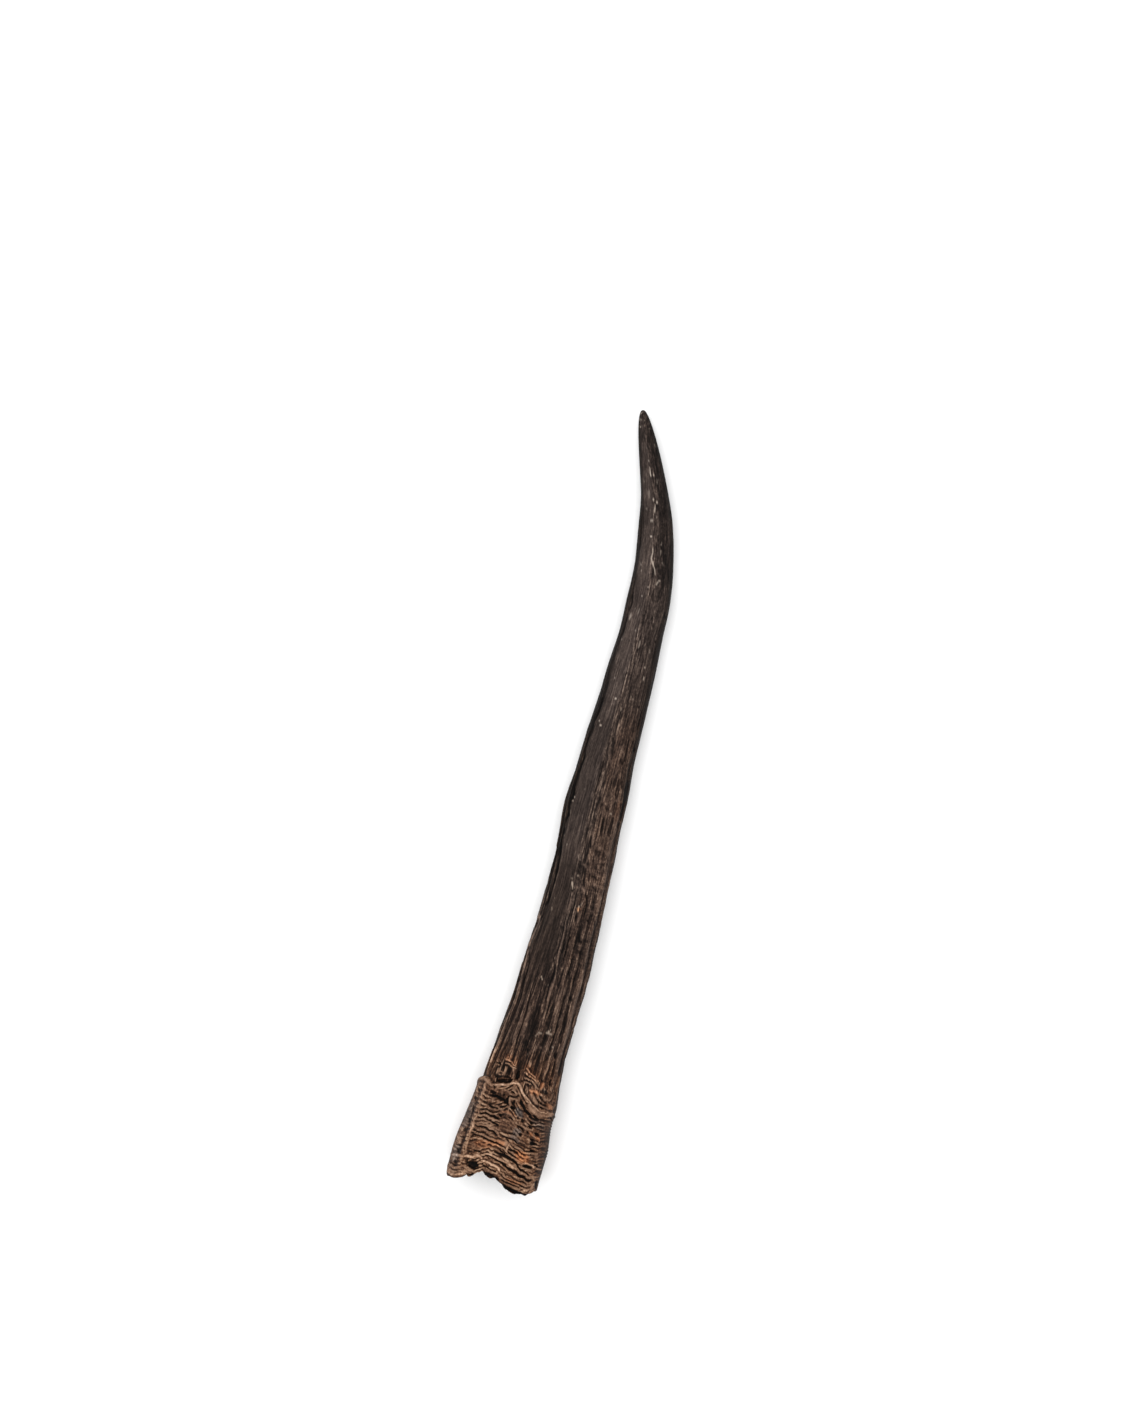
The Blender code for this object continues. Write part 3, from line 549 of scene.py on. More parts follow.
# small pale flecks and scratches
FLECKS = [
    (60, 26, 28, 1300, 22, 1284), (95, 34, 18, 1280, 18, 1268, 21, 1255), (100, 50, 31, 735),
    (70, 25, 25, 726, 31, 735, 34, 748), (65, 24, 30, 731, 38, 728, 44, 732, 53, 735),
    (60, 24, 5, 723, 14, 721, 24, 728), (65, 24, 0, 704, 3, 714, 10, 720), (80, 35, -2, 627),
    (60, 45, 82, 672), (60, 50, 56, 686), (75, 32, -35, 949, -30, 942, -28, 938), (50, 30, -14, 992),
    (50, 30, -6, 924), (50, 24, -18, 1044, -10, 1041, -4, 1047), (50, 26, -10, 1222, -5, 1216),
    (45, 30, -65, 1290, -63, 1282), (40, 28, -65, 1250, -63, 1232),
    (85, 36, -19, 1372, -17, 1358, -13, 1344), (40, 25, -32, 1384, -15, 1387),
    (65, 32, -7, 1402, -4, 1396), (50, 18, -20, 1486, -17, 1474, -10, 1468),
    (45, 16, -16, 1494, -12, 1484, -7, 1480), (80, 38, -63, 1520), (70, 32, -82, 1552),
    (60, 32, -82, 1664, -81, 1654), (95, 36, -83, 1720, -78, 1720), (90, 36, -83, 1700, -79, 1700),
    (40, 28, -50, 1760), (65, 42, 56, 1688, 55, 1680), (90, 42, -71, 2049),
    (90, 38, -65, 2035, -61, 2034), (60, 26, 0, 2130, 0, 2114), (95, 42, -33, 2158, -28, 2157),
    (55, 32, -62, 2244), (45, 30, 22, 2184, 34, 2174), (65, 38, 48, 2322, 56, 2313),
    (65, 34, 55, 2282, 58, 2264), (50, 34, 57, 2396, 60, 2382), (60, 30, -73, 2410),
    (50, 40, 0, 2420, 2, 2390), (50, 26, -32, 2462, -26, 2459), (60, 36, -70, 2524, -68, 2498),
    (75, 38, -58, 2544), (40, 35, -34, 2555, -36, 2534), (95, 42, -37, 2608), (95, 42, -12, 2647),
    (60, 36, -88, 2634), (65, 40, 38, 2684, 30, 2676, 24, 2664), (50, 34, -60, 2720, -55, 2710),
    (50, 32, -67, 2746, -64, 2734), (35, 45, 45, 2760, 50, 2750),
    (85, 28, -14, 2820, -12, 2796, -13, 2776, -8, 2756, -4, 2742, 4, 2730, 10, 2714, 15, 2702),
    (45, 30, 30, 2838, 27, 2826), (40, 30, 28, 2810, 30, 2790), (95, 50, -30, 2866),
    (65, 28, -35, 2934, -22, 2930, -6, 2927), (50, 26, 0, 2950, 4, 2944), (75, 30, -5, 2996, -8, 2968),
    (90, 32, -18, 3020, -6, 3014, 8, 3008), (50, 40, -72, 3100), (45, 34, 27, 3100, 27, 3082),
    (35, 60, -42, 3060, -40, 3030), (35, 60, -50, 2990, -66, 2980),
    (90, 34, -18, 3152, -20, 3134, -18, 3120, -2, 3119, 8, 3118), (65, 32, -18, 3182, -10, 3178),
    (60, 26, -26, 3234, -20, 3233), (40, 45, 65, 3250, 70, 3234), (50, 30, 45, 3313, 55, 3312),
    (55, 34, -15, 3352, 5, 3352), (80, 45, -80, 3330, -60, 3330), (70, 45, -90, 3364, -70, 3356),
    (60, 45, -70, 3382, -40, 3384)]
# orange-brown spots, then grey ones
STAINS = [
    (40, 200, 6, 570, 45, 530), (40, 180, -55, 586, -20, 564), (95, 250, 42, 210, 62, 194),
    (80, 80, 70, 308, 78, 286), (75, 70, 55, 310, 62, 302), (70, 140, 35, 480, 55, 476),
    (75, 100, 56, 504, 60, 524), (60, 180, -55, 204, -30, 216, 0, 234), (50, 120, 30, 94, 60, 90),
    (60, 90, 80, 446, 88, 432), (45, 50, 20, 362, -20, 366), (100, 90, 20, 1272, 20, 1262),
    (20, 150, 78, 1740, 78, 1660)]
ASHY = [
    (100, 160, 14, 388, 20, 374, 26, 366), (80, 160, 30, 302, 20, 286), (50, 200, 60, 358, 80, 346),
    (60, 120, 65, 266), (70, 110, -92, 110, -90, 180), (60, 120, -93, 260, -92, 360), (70, 90, 70, 492),
    (70, 120, 15, 272, 35, 258)]
# zones that are paler, then darker, than their surroundings: partly the horn's own tone, and among the
# darker ones painted shade in the recess below the ledge and along the edges
LIGHTER = [
    (10, 320, 45, 456, 75, 450), (20, 160, 30, 486, 50, 494), (50, 130, -90, 110, -90, 300, -90, 450),
    (60, 90, -90, 56, -62, 70), (50, 130, -68, 2060, -65, 2500, -62, 3250), (50, 110, 86, 840, 86, 1240),
    (55, 160, 74, 1260, 74, 1640), (45, 140, 82, 620, 82, 840, 80, 1100), (30, 130, -90, 446, -75, 464),
    (35, 160, 35, 840, 35, 1000, 30, 1160), (35, 260, 35, 1260, 40, 1500, 40, 1960),
    (75, 240, -40, 2080, -38, 2320, -38, 2620, -35, 3250), (50, 160, -50, 180, 0, 170),
    (20, 200, 42, 206, 62, 196), (90, 70, -92, 540, -93, 840, -95, 1200), (60, 120, 90, 490, 90, 570)]
DARKER = [
    (135, 180, -50, 418, -25, 414, 5, 400), (90, 140, 26, 394, 46, 374),
    (120, 110, 44, 376, 60, 366, 84, 368), (55, 190, -12, 550, -15, 660, -18, 840),
    (25, 340, -35, 880, -35, 1040, -32, 1200),
    (150, 120, -25, 109, -5, 96, 10, 85, 20, 74, 40, 58, 60, 46, 80, 50), (80, 160, -60, 118, -42, 117),
    (70, 180, 45, 2620, 45, 2850, 50, 3100, 50, 3320), (60, 140, 92, 120, 94, 260, 94, 380),
    (45, 220, 55, 352, 80, 330), (260, 320, -62, 506, -40, 560), (80, 320, -45, 374, -12, 354),
    (70, 220, 74, 220, 74, 310), (20, 240, -15, 1240, -15, 1600, -15, 2050), (60, 120, 92, 310, 92, 460),
    (35, 120, -92, 1260, -93, 2000, -93, 2500), (50, 200, 45, 234, 40, 310), (60, 240, 72, 430, 50, 464),
    (50, 160, 10, 434, 24, 420), (70, 180, 30, 600, 30, 500)]
MM_PER_METRE = 1000.0
# how far strokes stray from the line drawn, and how much further up they all lie, in mm
WARP = 0.35
STROKE_OFFSET = 0.6
# in half widths: how far round a stroke points are looked at, and where its edge fades
STROKE_REACH = 3.0
SOFT_EDGE = (0.5, 1.35)
END_NARROWING = 0.45
# the half width in mm by which a stroke's reach is turned into a share
SHARE_REACH = 4.0
RIB_WIDENING = 1.35
GAP_WIDENING = 1.18
FLECK_NARROWING = 0.85


def stroke_cover(strokes, share, distance, radius, widening=1.0):
    """How much these strokes cover each point, from 0 to 1, with soft and tapered ends."""
    cover = np.zeros_like(share)
    for strength, width, *numbers in strokes:
        width = width / 100 * widening
        points = [(side / 100, far / 10) for side, far in zip(numbers[::2], numbers[1::2])]
        reach = STROKE_REACH * width
        sides, lengths = zip(*points)
        near = ((distance > min(lengths) - reach) & (distance < max(lengths) + reach)
                & (share > min(sides) - reach / SHARE_REACH)
                & (share < max(sides) + reach / SHARE_REACH))
        here_share, here_distance, here_radius = share[near], distance[near], radius[near]
        best = np.full(here_share.shape, 9.0)
        for number, (start, end) in enumerate(zip(points, points[1:] or points)):
            across = (here_share - start[0]) * here_radius
            beyond = here_distance - start[1]
            run = (end[0] - start[0]) * here_radius
            rise = end[1] - start[1]
            part = np.clip((across * run + beyond * rise) / (run**2 + rise**2 + 1e-9), 0.0, 1.0)
            progress = 2.0 * (number + part) / max(1, len(points) - 1) - 1.0
            taper = 1.0 - END_NARROWING * progress**4 * (len(points) > 1)
            gap = np.hypot(across - part * run, beyond - part * rise) / (width * taper)
            best = np.minimum(best, gap)
        here = strength / 100 * (1.0 - smoothstep(*SOFT_EDGE, best))
        cover[near] = np.maximum(cover[near], here)
    return cover


def seen_from_above(angles, along, across, up):
    """Share of the half width and mm along at which the camera sees each point."""
    lean = (along - BASE_TO_CENTRE_UP * MM_PER_PIXEL * MM) / CAMERA_DISTANCE
    height = half_width(along) * height_ratio(along) + up - WIDEST_HEIGHT
    distance = (along + lean * height) * MM_PER_METRE + STROKE_OFFSET
    share = across / half_width(along)
    radius = half_width(along) * MM_PER_METRE
    share = share + WARP / radius * patches(angles, along, 60, 0.004, 95)
    distance = distance + WARP * patches(angles, along, 50, 0.003, 96)
    distance = distance + 0.4 * WARP * patches(angles, along, 110, 0.0015, 98)
    on_top = smoothstep(-0.25, 0.0, np.sin(np.radians(angles)))
    return share, distance, radius, on_top


# The horn's skin: one closed mesh of rings, from the blind end of the hollow over the rim
# and up the outside to the tip. Rings are closest in the collar and columns on top.
COLUMNS = 168
COLUMN_CROWDING = 0.5
HOLLOW_RINGS = 36
COLLAR_RINGS = 138
LEDGE_RINGS = 40
SHAFT_START = 0.062
SHAFT_END = 0.290
SHAFT_RINGS = 275
TIP_RINGS = 60
TIP_SHARE = 0.93
# how high ribs and flecks stand and how deep gaps are, on the collar and on the shaft
COLLAR_RIB_HEIGHT = 0.00040
SHAFT_RIB_HEIGHT = 0.00022
FLECK_HEIGHT = 0.00012
COLLAR_GAP_DEPTH = 0.00080
SHAFT_GAP_DEPTH = 0.00045
COLLAR_PART_END = 0.060
# the rim: where its inner edge and the wall behind begin, and how far its lip is drawn back
INNER_EDGE = 0.0004
WALL_START = 0.0005
LIP_DRAWN_BACK = 0.0002


def rows_from(start, end, count, power=1.0):
    """Distances between two rings, or two ragged lines, spread by a power."""
    shares = (np.arange(count) / count) ** power
    return start + (end - start) * shares[:, None]


turn = np.arange(COLUMNS) / COLUMNS * 2.0 * np.pi
column_angles = np.mod(np.degrees(turn + COLUMN_CROWDING * np.cos(turn)), 360.0)
rim_line = around_curve(RIM, column_angles)
crumbs = (patches(column_angles, 0.0 * column_angles, 46, 0.01, 81)
          + 0.6 * patches(column_angles, 0.0 * column_angles, 90, 0.01, 82))
rim_line = rim_line + RIM_FRAY * np.clip(crumbs + 0.4, 0.0, 1.5)
ledge_line = around_curve(LEDGE, column_angles)
straight = np.ones(COLUMNS)
along = np.concatenate([
    rows_from(rim_line, ledge_line, COLLAR_RINGS),
    rows_from(ledge_line, SHAFT_START * straight, LEDGE_RINGS, 1.7),
    rows_from(SHAFT_START * straight, SHAFT_END * straight, SHAFT_RINGS),
    SHAFT_END + (HORN_LENGTH - SHAFT_END) * (
        1.0 - (1.0 - rows_from(0.0 * straight, straight, TIP_RINGS)) ** 1.6)])
angles = np.broadcast_to(column_angles, along.shape)

ratio = height_ratio(along)
across, up = oval(angles, half_width(along), half_width(along) * ratio,
                  TOP_ROUNDNESS, BELLY_ROUNDNESS)
share, distance, radius, on_top = seen_from_above(angles, along, across, up)


def cover_on_top(strokes, widening=1.0):
    """How much these strokes cover each point of the side that the camera sees."""
    return on_top * stroke_cover(strokes, share, distance, radius, widening)


collar_ribs = cover_on_top(COLLAR_RIBS, RIB_WIDENING)
shaft_ribs = cover_on_top(SHAFT_RIBS, RIB_WIDENING)
flecks = cover_on_top(FLECKS, FLECK_NARROWING)
gaps = np.maximum(cover_on_top(COLLAR_GAPS, GAP_WIDENING), cover_on_top(SHAFT_GAPS))
drawn = np.clip(1.5 * np.maximum(collar_ribs, gaps), 0.0, 1.0)
bumpy = 1.0 + 0.5 * patches(angles, along, 120, 0.0011, 97)
rings = collar_height(angles, along, rim_line, ledge_line)
collar_form = LEDGE_HEIGHT * (1.0 - smoothstep(*LEDGE_STEP, along - ledge_line))
relief = (collar_form + (rings - collar_form) * (1.0 - 0.75 * drawn)
          + shaft_height(angles, along) + lump_height(angles, along)
          + side_height(angles, along) + flush_height(angles, along, ledge_line)
          + fibre_height(angles, along, ledge_line)
          + COLLAR_RIB_HEIGHT * collar_ribs * bumpy + SHAFT_RIB_HEIGHT * shaft_ribs * bumpy
          + FLECK_HEIGHT * flecks
          - gaps * np.where(along < COLLAR_PART_END, COLLAR_GAP_DEPTH, SHAFT_GAP_DEPTH))
out_x, out_z = np.cos(np.radians(angles)) * ratio, np.sin(np.radians(angles))
out_size = np.hypot(out_x, out_z)
shrink = 1.0 - smoothstep(TIP_SHARE, 1.0, along / HORN_LENGTH)
outside = place(along, across + relief * shrink * out_x / out_size,
                up + relief * shrink * out_z / out_size)
outside[..., 2] = np.maximum(outside[..., 2], 0.0)

inside_along = rim_line + WALL_START + (HOLLOW_DEPTH - rim_line - WALL_START) * (
    1.0 - (np.arange(HOLLOW_RINGS) / HOLLOW_RINGS)[:, None] ** 1.5)
inside_along = inside_along[1:]
inside_angles = np.broadcast_to(column_angles, inside_along.shape)
inside = hollow_ring(inside_angles, inside_along)
inner_edge = hollow_ring(column_angles, rim_line + INNER_EDGE)
lip = (inner_edge + outside[0]) / 2.0
lip[:, 1] -= LIP_DRAWN_BACK

skin = np.concatenate([inside.reshape(-1, 3), inner_edge, lip, outside.reshape(-1, 3)])
ring_count = len(skin) // COLUMNS
blind_end = place(np.array([HOLLOW_DEPTH]), 0.0, 0.0)
tip = place(np.array([HORN_LENGTH]), 0.0, 0.0)
skin = np.concatenate([skin, blind_end, tip])

row, column = np.meshgrid(np.arange(ring_count - 1), np.arange(COLUMNS), indexing="ij")
beside = (column + 1) % COLUMNS
quads = np.stack([row * COLUMNS + column, (row + 1) * COLUMNS + column,
                  (row + 1) * COLUMNS + beside, row * COLUMNS + beside], axis=-1)
faces = [tuple(quad) for quad in quads.reshape(-1, 4).tolist()]
top = (ring_count - 1) * COLUMNS
for here in range(COLUMNS):
    there = (here + 1) % COLUMNS
    faces.append((len(skin) - 2, here, there))
    faces.append((len(skin) - 1, top + there, top + here))
horn_mesh = bpy.data.meshes.new("horn")
horn_mesh.from_pydata(skin.tolist(), [], faces)
horn_mesh.shade_smooth()
horn = bpy.data.objects.new("horn", horn_mesh)
bpy.context.scene.collection.objects.link(horn)
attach(horn, "root")
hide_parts("horn_sheath")


# Colour on the horn, with painted light and shade. What stands proud is painted paler, as painted
# highlight, and what lies deep is painted darker, as painted shade, so both are read from the relief.
# Named marks add the beige ledge and lip, the orange-brown flakes of the collar, the grey facet and the
# small pale flecks on top.
def blurred(field, rows, columns):
    """The field smoothed over this many rings and columns each way."""
    total = np.zeros_like(field)
    for shift in range(-columns, columns + 1):
        total += np.roll(field, shift, axis=1)
    field = total / (2 * columns + 1)
    padded = np.pad(field, ((rows, rows), (0, 0)), mode="edge")
    total = sum(padded[shift:shift + len(field)] for shift in range(2 * rows + 1))
    return total / (2 * rows + 1)


# distance along the horn, and how pale it is there
TONE_ALONG = [(0.0, 0.46), (0.045, 0.43), (0.052, 0.40), (0.060, 0.36), (0.090, 0.34),
              (0.12, 0.35), (0.135, 0.42), (0.21, 0.43), (0.25, 0.42), (0.29, 0.38),
              (0.341, 0.36)]
FINE_RELIEF = 0.00014
COARSE_RELIEF = 0.0004

# painted highlight and shade from the relief: raised points are painted paler, sunken ones darker
proud = np.clip((relief - blurred(relief, 3, 3)) / FINE_RELIEF, -1.0, 1.0)
very_proud = np.clip((relief - blurred(relief, 9, 8)) / COARSE_RELIEF, -1.0, 1.0)
past_ledge = along - ledge_line
collar = 1.0 - smoothstep(-0.001, 0.001, past_ledge)
tone = (curve_through(TONE_ALONG, along) + 0.18 * proud + very_proud * (0.03 + 0.12 * collar)
        + 0.13 * collar + 0.16 * cover_on_top(LIGHTER) - 0.22 * cover_on_top(DARKER))
phase = np.mod(ring_phase(angles, along, rim_line, ledge_line), 1.0)
# painted highlight along each growth ring's crest, and painted shade at the foot of its steep side
lines = np.exp(-(((phase - 0.30) / 0.12) ** 2)) - 1.8 * np.exp(-(((phase - 0.95) / 0.10) ** 2))
tone += 0.18 * lines * collar * ring_strength(angles, along) * (1.0 - 0.8 * drawn)
hidden_crest = np.exp(-(((past_ledge + 0.0007) / 0.0007) ** 2)) * 0.45 * (1.0 - on_top)
rib = np.maximum(collar_ribs, np.where(along < COLLAR_PART_END, 1.3, 0.75) * shaft_ribs)
rib = np.clip(np.maximum(rib, hidden_crest) * (0.5 + 0.5 * bumpy), 0.0, 1.1)
# painted shade in the drawn gaps and in the hollows of the collar's relief
gap_and_hollow_shade = np.clip(gaps + 0.3 * np.clip(-very_proud, 0.0, 1.0) * collar, 0.0, 1.0)
warm_spots = np.clip(0.5 + 0.7 * patches(angles, along, 26, 0.005, 92), 0.0, 1.0)
stain = cover_on_top(STAINS)
ashy = cover_on_top(ASHY)
warm = collar * (0.78 + 0.20 * warm_spots + 0.20 * (1.0 - smoothstep(0.022, 0.032, along)))
warm = np.maximum(warm, 0.85 * between(0.02, 0.065, 0.010, along))
warm = np.maximum(warm, 0.35 * between(0.05, 0.095, 0.030, along))
strips = 0.30 * (1.0 - smoothstep(-0.85, -0.76, share)) + 0.20 * smoothstep(0.80, 0.90, share)
warm *= 1.0 - collar * strips
warm = np.maximum(warm, (0.15 + 0.15 * warm_spots) * between(10.0, 85.0, 6.0, angles)
                  * between(0.045, 0.21, 0.01, along))
# smooth, where mottling is weak; calm, where streaks are; layered, where marks run across
right_half = between(5.0, 82.0, 6.0, angles) * smoothstep(0.060, 0.110, along)
smooth = np.maximum(facet(angles, along), 0.35 * smoothstep(0.15, 0.25, along))
calm = np.maximum(smooth, 0.75 * right_half)
layered = np.maximum(collar, 0.45 * right_half * between(0.092, 0.150, 0.012, along))
warm = np.clip(warm * (1.0 - ashy), 0.0, 1.0)
grey = facet(angles, along) * 0.8 * smoothstep(0.12, 0.17, along) + ashy
grey = np.clip(grey + 0.6 * smoothstep(0.20, 0.25, along), 0.0, 1.0)
# painted shade along the edges of the outline, where the sides turn away from the light above, wider
# towards the tip
upper = smoothstep(0.118, 0.150, along)
narrowed = smoothstep(0.150, 0.190, along)
edge = smoothstep(0.91 - 0.36 * narrowed, 1.0 - 0.04 * narrowed, share)
edge = np.clip(edge + upper * smoothstep(0.70, 0.90, -share), 0.0, 1.0)

inside_count = len(skin) - 2 - outside.shape[0] * COLUMNS


def add_mask(name, values):
    """Keep a mask of the outside on the mesh; the hollow and the ends hold zero."""
    flat = np.concatenate([np.zeros(inside_count), values.ravel(), [0.0, 0.0]])
    mask = horn_mesh.attributes.new(name, "FLOAT", "POINT")
    mask.data.foreach_set("value", flat.astype(np.float32))


for mask_name, mask_values in (("tone", tone), ("rib", rib), ("fleck", flecks), ("warm", warm),
                               ("stain", stain), ("grey", grey), ("gap_and_hollow_shade", gap_and_hollow_shade),
                               ("collar", collar), ("edge", edge), ("calm", calm),
                               ("smooth", smooth), ("layered", layered)):
    add_mask(mask_name, mask_values)

# Fibres run along the horn, so their pattern is laid out on a straightened horn.
all_along = np.concatenate([inside_along, rim_line[None], rim_line[None], along])
all_angles = np.broadcast_to(np.radians(column_angles), all_along.shape)
all_radii = half_width(all_along)
unrolled = np.stack([np.cos(all_angles) * all_radii, np.sin(all_angles) * all_radii,
                     all_along], axis=-1)
unrolled = np.concatenate([unrolled.reshape(-1, 3), [[0, 0, HOLLOW_DEPTH], [0, 0, HORN_LENGTH]]])
layout = horn_mesh.attributes.new("unrolled", "FLOAT_VECTOR", "POINT")
layout.data.foreach_set("vector", (unrolled * MM_PER_METRE).astype(np.float32).ravel())


# The finish of the keratin: matt, dark grey-brown, streaked along the fibres, warmer on the
# young collar and greyer on the worn facet. The bare inner wall is paler and plainer.
def add(tree, kind, links=(), **values):
    """A shader node with its values set and its inputs linked from other sockets."""
    made = tree.nodes.new(kind)
    for name, value in values.items():
        setattr(made, name, value)
    for socket, source in dict(links).items():
        if hasattr(source, "is_output"):
            tree.links.new(source, made.inputs[socket])
        else:
            made.inputs[socket].default_value = source
    return made


def fibre_group():
    """Streaks along the fibres, from 0 to 1, so many to a millimetre each way."""
    group = bpy.data.node_groups.new("horn fibres", "ShaderNodeTree")
    group.interface.new_socket("Unrolled", in_out="INPUT", socket_type="NodeSocketVector")
    for name in ("Across", "Along", "Roughness"):
        group.interface.new_socket(name, in_out="INPUT", socket_type="NodeSocketFloat")
    for name in ("Streaks", "Lines"):
        group.interface.new_socket(name, in_out="OUTPUT", socket_type="NodeSocketFloat")
    start = group.nodes.new("NodeGroupInput").outputs
    scale = add(group, "ShaderNodeCombineXYZ",
                {"X": start["Across"], "Y": start["Across"], "Z": start["Along"]})
    stretched = add(group, "ShaderNodeVectorMath",
                    {0: start["Unrolled"], 1: scale.outputs[0]}, operation="MULTIPLY")
    noise = add(group, "ShaderNodeTexNoise",
                {"Vector": stretched.outputs[0], "Scale": 1.0, "Detail": 4.0,
                 "Roughness": start["Roughness"]})
    off_middle = add(group, "ShaderNodeMath", {0: noise.outputs["Fac"], 1: 0.5},
                     operation="SUBTRACT")
    away = add(group, "ShaderNodeMath", {0: off_middle.outputs[0]}, operation="ABSOLUTE")
    lines = add(group, "ShaderNodeMapRange", {"Value": away.outputs[0], "From Max": 0.035,
                                              "To Min": 1.0, "To Max": 0.0})
    add(group, "NodeGroupOutput", {"Streaks": noise.outputs["Fac"], "Lines": lines.outputs[0]})
    return group


fibres = fibre_group()


def streaks(tree, unrolled_socket, across, lengthwise, roughness=0.6, kind="Streaks"):
    return add(tree, "ShaderNodeGroup",
               {"Unrolled": unrolled_socket, "Across": across, "Along": lengthwise,
                "Roughness": roughness}, node_tree=fibres).outputs[kind]


def maths(tree, operation, first, second):
    return add(tree, "ShaderNodeMath", {0: first, 1: second}, operation=operation).outputs[0]


def times(tree, first, second):
    return maths(tree, "MULTIPLY", first, second)


def mask_value(tree, name):
    return add(tree, "ShaderNodeAttribute", attribute_name=name).outputs["Fac"]


def ramp(tree, value, stops):
    made = add(tree, "ShaderNodeValToRGB", {"Fac": value})
    elements = made.color_ramp.elements
    while len(elements) < len(stops):
        elements.new(0.5)
    for element, (position, colour) in zip(elements, stops):
        element.position = position
        element.color = (*colour, 1.0)
    return made.outputs["Color"]


def mixed(tree, factor, first, second, blend="MIX"):
    made = add(tree, "ShaderNodeMix", data_type="RGBA", blend_type=blend)
    for socket, source in ((made.inputs["Factor"], factor), (made.inputs[6], first),
                           (made.inputs[7], second)):
        if hasattr(source, "is_output"):
            tree.links.new(source, socket)
        else:
            socket.default_value = source if isinstance(source, float) else (*source, 1.0)
    return made.outputs[2]


def new_finish(name, roughness, shine):
    """A new material, with its tree and its shader."""
    material = bpy.data.materials.new(name)
    material.use_nodes = True
    shader = material.node_tree.nodes["Principled BSDF"]
    shader.inputs["Roughness"].default_value = roughness
    shader.inputs["Specular IOR Level"].default_value = shine
    return material, material.node_tree, shader


def weathered_keratin():
    material, tree, shader = new_finish("weathered keratin", 0.62, 0.06)
    spread = add(tree, "ShaderNodeAttribute", attribute_name="unrolled").outputs["Vector"]
    fine = streaks(tree, spread, 2.0, 0.09)
    broad = streaks(tree, spread, 0.45, 0.02)
    mottle = streaks(tree, spread, 1.5, 0.8, 0.7)
    layers = streaks(tree, spread, 0.16, 1.2)
    threads = streaks(tree, spread, 0.8, 0.06, 0.5, "Lines")
    collar = mask_value(tree, "collar")
    shaft = maths(tree, "SUBTRACT", 1.0, collar)
    tone = mask_value(tree, "tone")
    streaky = maths(tree, "SUBTRACT", 1.0, times(tree, mask_value(tree, "calm"), 0.55))
    mottled = maths(tree, "SUBTRACT", 1.0, times(tree, mask_value(tree, "smooth"), 0.55))
    lengthwise = times(tree, maths(tree, "ADD", shaft, 0.12), streaky)
    for pattern, strength, where in ((fine, 2.1, lengthwise), (broad, 0.30, shaft),
                                     (mottle, 1.3, mottled),
                                     (layers, 1.5, mask_value(tree, "layered"))):
        centred = maths(tree, "SUBTRACT", pattern, 0.5)
        part = times(tree, times(tree, centred, strength), where)
        tone = maths(tree, "ADD", tone, part)
    tone = maths(tree, "ADD", tone, times(tree, times(tree, threads, 0.13), shaft))
    colour = ramp(tree, tone, (
        (0.00, (0.004, 0.0027, 0.0022)), (0.25, (0.012, 0.0078, 0.0062)),
        (0.45, (0.032, 0.0213, 0.0168)), (0.62, (0.060, 0.0405, 0.0315)),
        (0.80, (0.115, 0.079, 0.060)), (1.00, (0.240, 0.170, 0.130))))
    warm_colour = ramp(tree, tone, (
        (0.00, (0.005, 0.0022, 0.0012)), (0.25, (0.015, 0.0068, 0.0038)),
        (0.45, (0.042, 0.0186, 0.0098)), (0.62, (0.084, 0.0380, 0.0202)),
        (0.80, (0.170, 0.0860, 0.0480)), (1.00, (0.340, 0.212, 0.134))))
    colour = mixed(tree, mask_value(tree, "warm"), colour, warm_colour)
    paleness = times(tree, mask_value(tree, "rib"),
                     maths(tree, "ADD", times(tree, mottle, 2.2), -0.1))
    rib_tone = ramp(tree, paleness, (
        (0.2, (0.080, 0.053, 0.042)), (0.50, (0.170, 0.114, 0.086)),
        (0.80, (0.300, 0.214, 0.166)), (1.0, (0.455, 0.360, 0.300))))
    rib_tone = mixed(tree, mask_value(tree, "warm"), rib_tone,
                     mixed(tree, 1.0, rib_tone, (1.10, 0.90, 0.72), "MULTIPLY"))
    covering = times(tree, paleness, 1.7)
    covering.node.use_clamp = True
    colour = mixed(tree, covering, colour, rib_tone)
    flecked = maths(tree, "POWER", mask_value(tree, "fleck"), 1.6)
    colour = mixed(tree, flecked, colour, (0.40, 0.31, 0.24))
    for mask, tint in (("grey", (0.98, 1.06, 1.16)), ("stain", (1.40, 0.97, 0.68))):
        colour = mixed(tree, mask_value(tree, mask), colour,
                       mixed(tree, 1.0, colour, tint, "MULTIPLY"))
    # painted shade: the gaps and hollows, and the edges of the outline, are darkened
    for mask, shade in (("gap_and_hollow_shade", (0.12, 0.09, 0.07)), ("edge", (0.26, 0.23, 0.21))):
        colour = mixed(tree, mask_value(tree, mask), colour,
                       mixed(tree, 1.0, colour, shade, "MULTIPLY"))
    tree.links.new(colour, shader.inputs["Base Color"])
    furrow_height = times(tree, fine, maths(tree, "ADD", shaft, 0.15))
    furrows = add(tree, "ShaderNodeBump", {"Height": furrow_height, "Strength": 0.6,
                                           "Distance": 0.0004})
    tree.links.new(furrows.outputs[0], shader.inputs["Normal"])
    return material


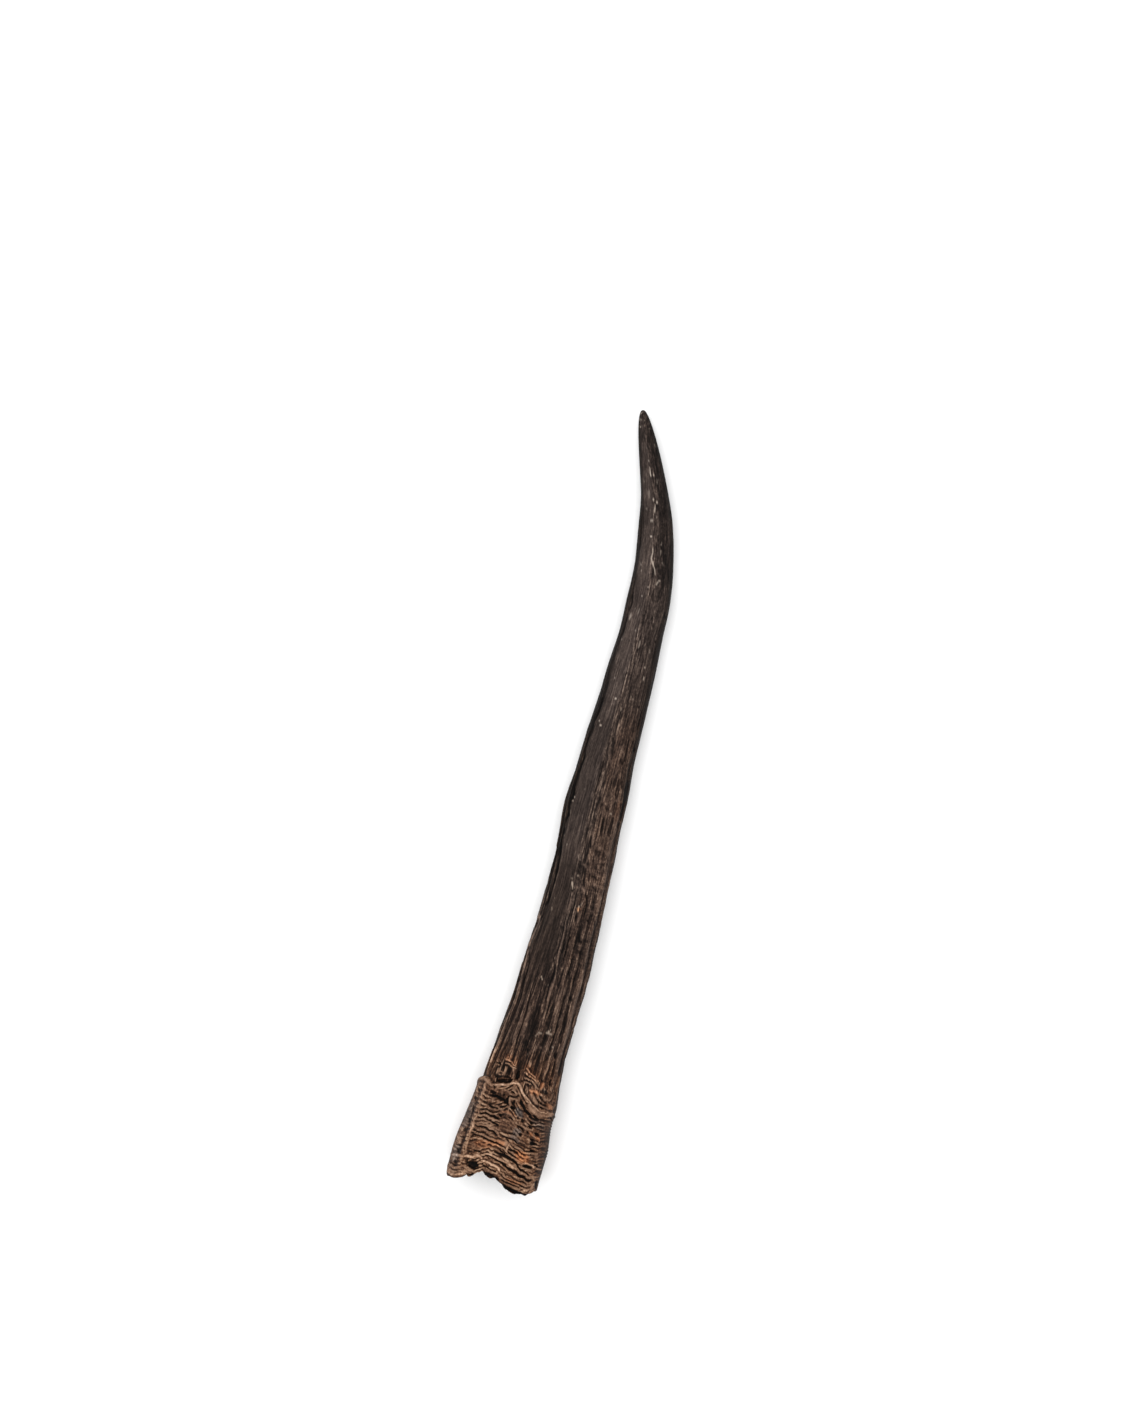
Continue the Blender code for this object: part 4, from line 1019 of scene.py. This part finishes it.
def inner_keratin():
    material, tree, shader = new_finish("inner keratin", 0.7, 0.25)
    spread = add(tree, "ShaderNodeAttribute", attribute_name="unrolled").outputs["Vector"]
    fine = streaks(tree, spread, 1.6, 0.06)
    colour = ramp(tree, fine, ((0.25, (0.030, 0.022, 0.016)), (0.5, (0.090, 0.066, 0.048)),
                               (0.75, (0.190, 0.145, 0.105))))
    tree.links.new(colour, shader.inputs["Base Color"])
    return material


horn_mesh.materials.append(weathered_keratin())
horn_mesh.materials.append(inner_keratin())
# the hollow's faces come first; those that close it alternate with the tip's at the end
slots = np.zeros(len(faces), dtype=np.int32)
slots[:inside_along.shape[0] * COLUMNS] = 1
slots[quads.shape[0] * COLUMNS::2] = 1
horn_mesh.polygons.foreach_set("material_index", slots)


# The floor and the light: a plain pale table top under soft studio light, mostly from
# above and a little from the upper left, so that shadows stay soft and close.
FLOOR_SIZE = 6.0
FLOOR_COLOUR = (0.93, 0.93, 0.93)
SKY_STRENGTH = 0.8

floor_mesh = bpy.data.meshes.new("floor")
half = FLOOR_SIZE / 2.0
floor_mesh.from_pydata([(-half, -half, 0), (half, -half, 0), (half, half, 0), (-half, half, 0)],
                       [], [(0, 1, 2, 3)])
floor = bpy.data.objects.new("floor", floor_mesh)
bpy.context.scene.collection.objects.link(floor)
floor_paint, _, floor_shader = new_finish("pale floor", 0.9, 0.1)
floor_shader.inputs["Base Color"].default_value = (*FLOOR_COLOUR, 1.0)
floor_mesh.materials.append(floor_paint)

world = bpy.data.worlds.new("studio")
world.use_nodes = True
sky = world.node_tree.nodes["Background"]
sky.inputs["Color"].default_value = (1.0, 1.0, 1.0, 1.0)
sky.inputs["Strength"].default_value = SKY_STRENGTH
bpy.context.scene.world = world


def add_softbox(name, location, size, power):
    data = bpy.data.lights.new(name, "AREA")
    data.shape = "DISK"
    data.size = size
    data.energy = power
    lamp = bpy.data.objects.new(name, data)
    lamp.location = location
    lamp.rotation_euler = (-Vector(location)).to_track_quat("-Z", "Y").to_euler()
    bpy.context.scene.collection.objects.link(lamp)


add_softbox("softbox above left", (-0.28, 0.22, 2.2), 2.6, 44.0)
bpy.context.scene.view_settings.view_transform = "Standard"
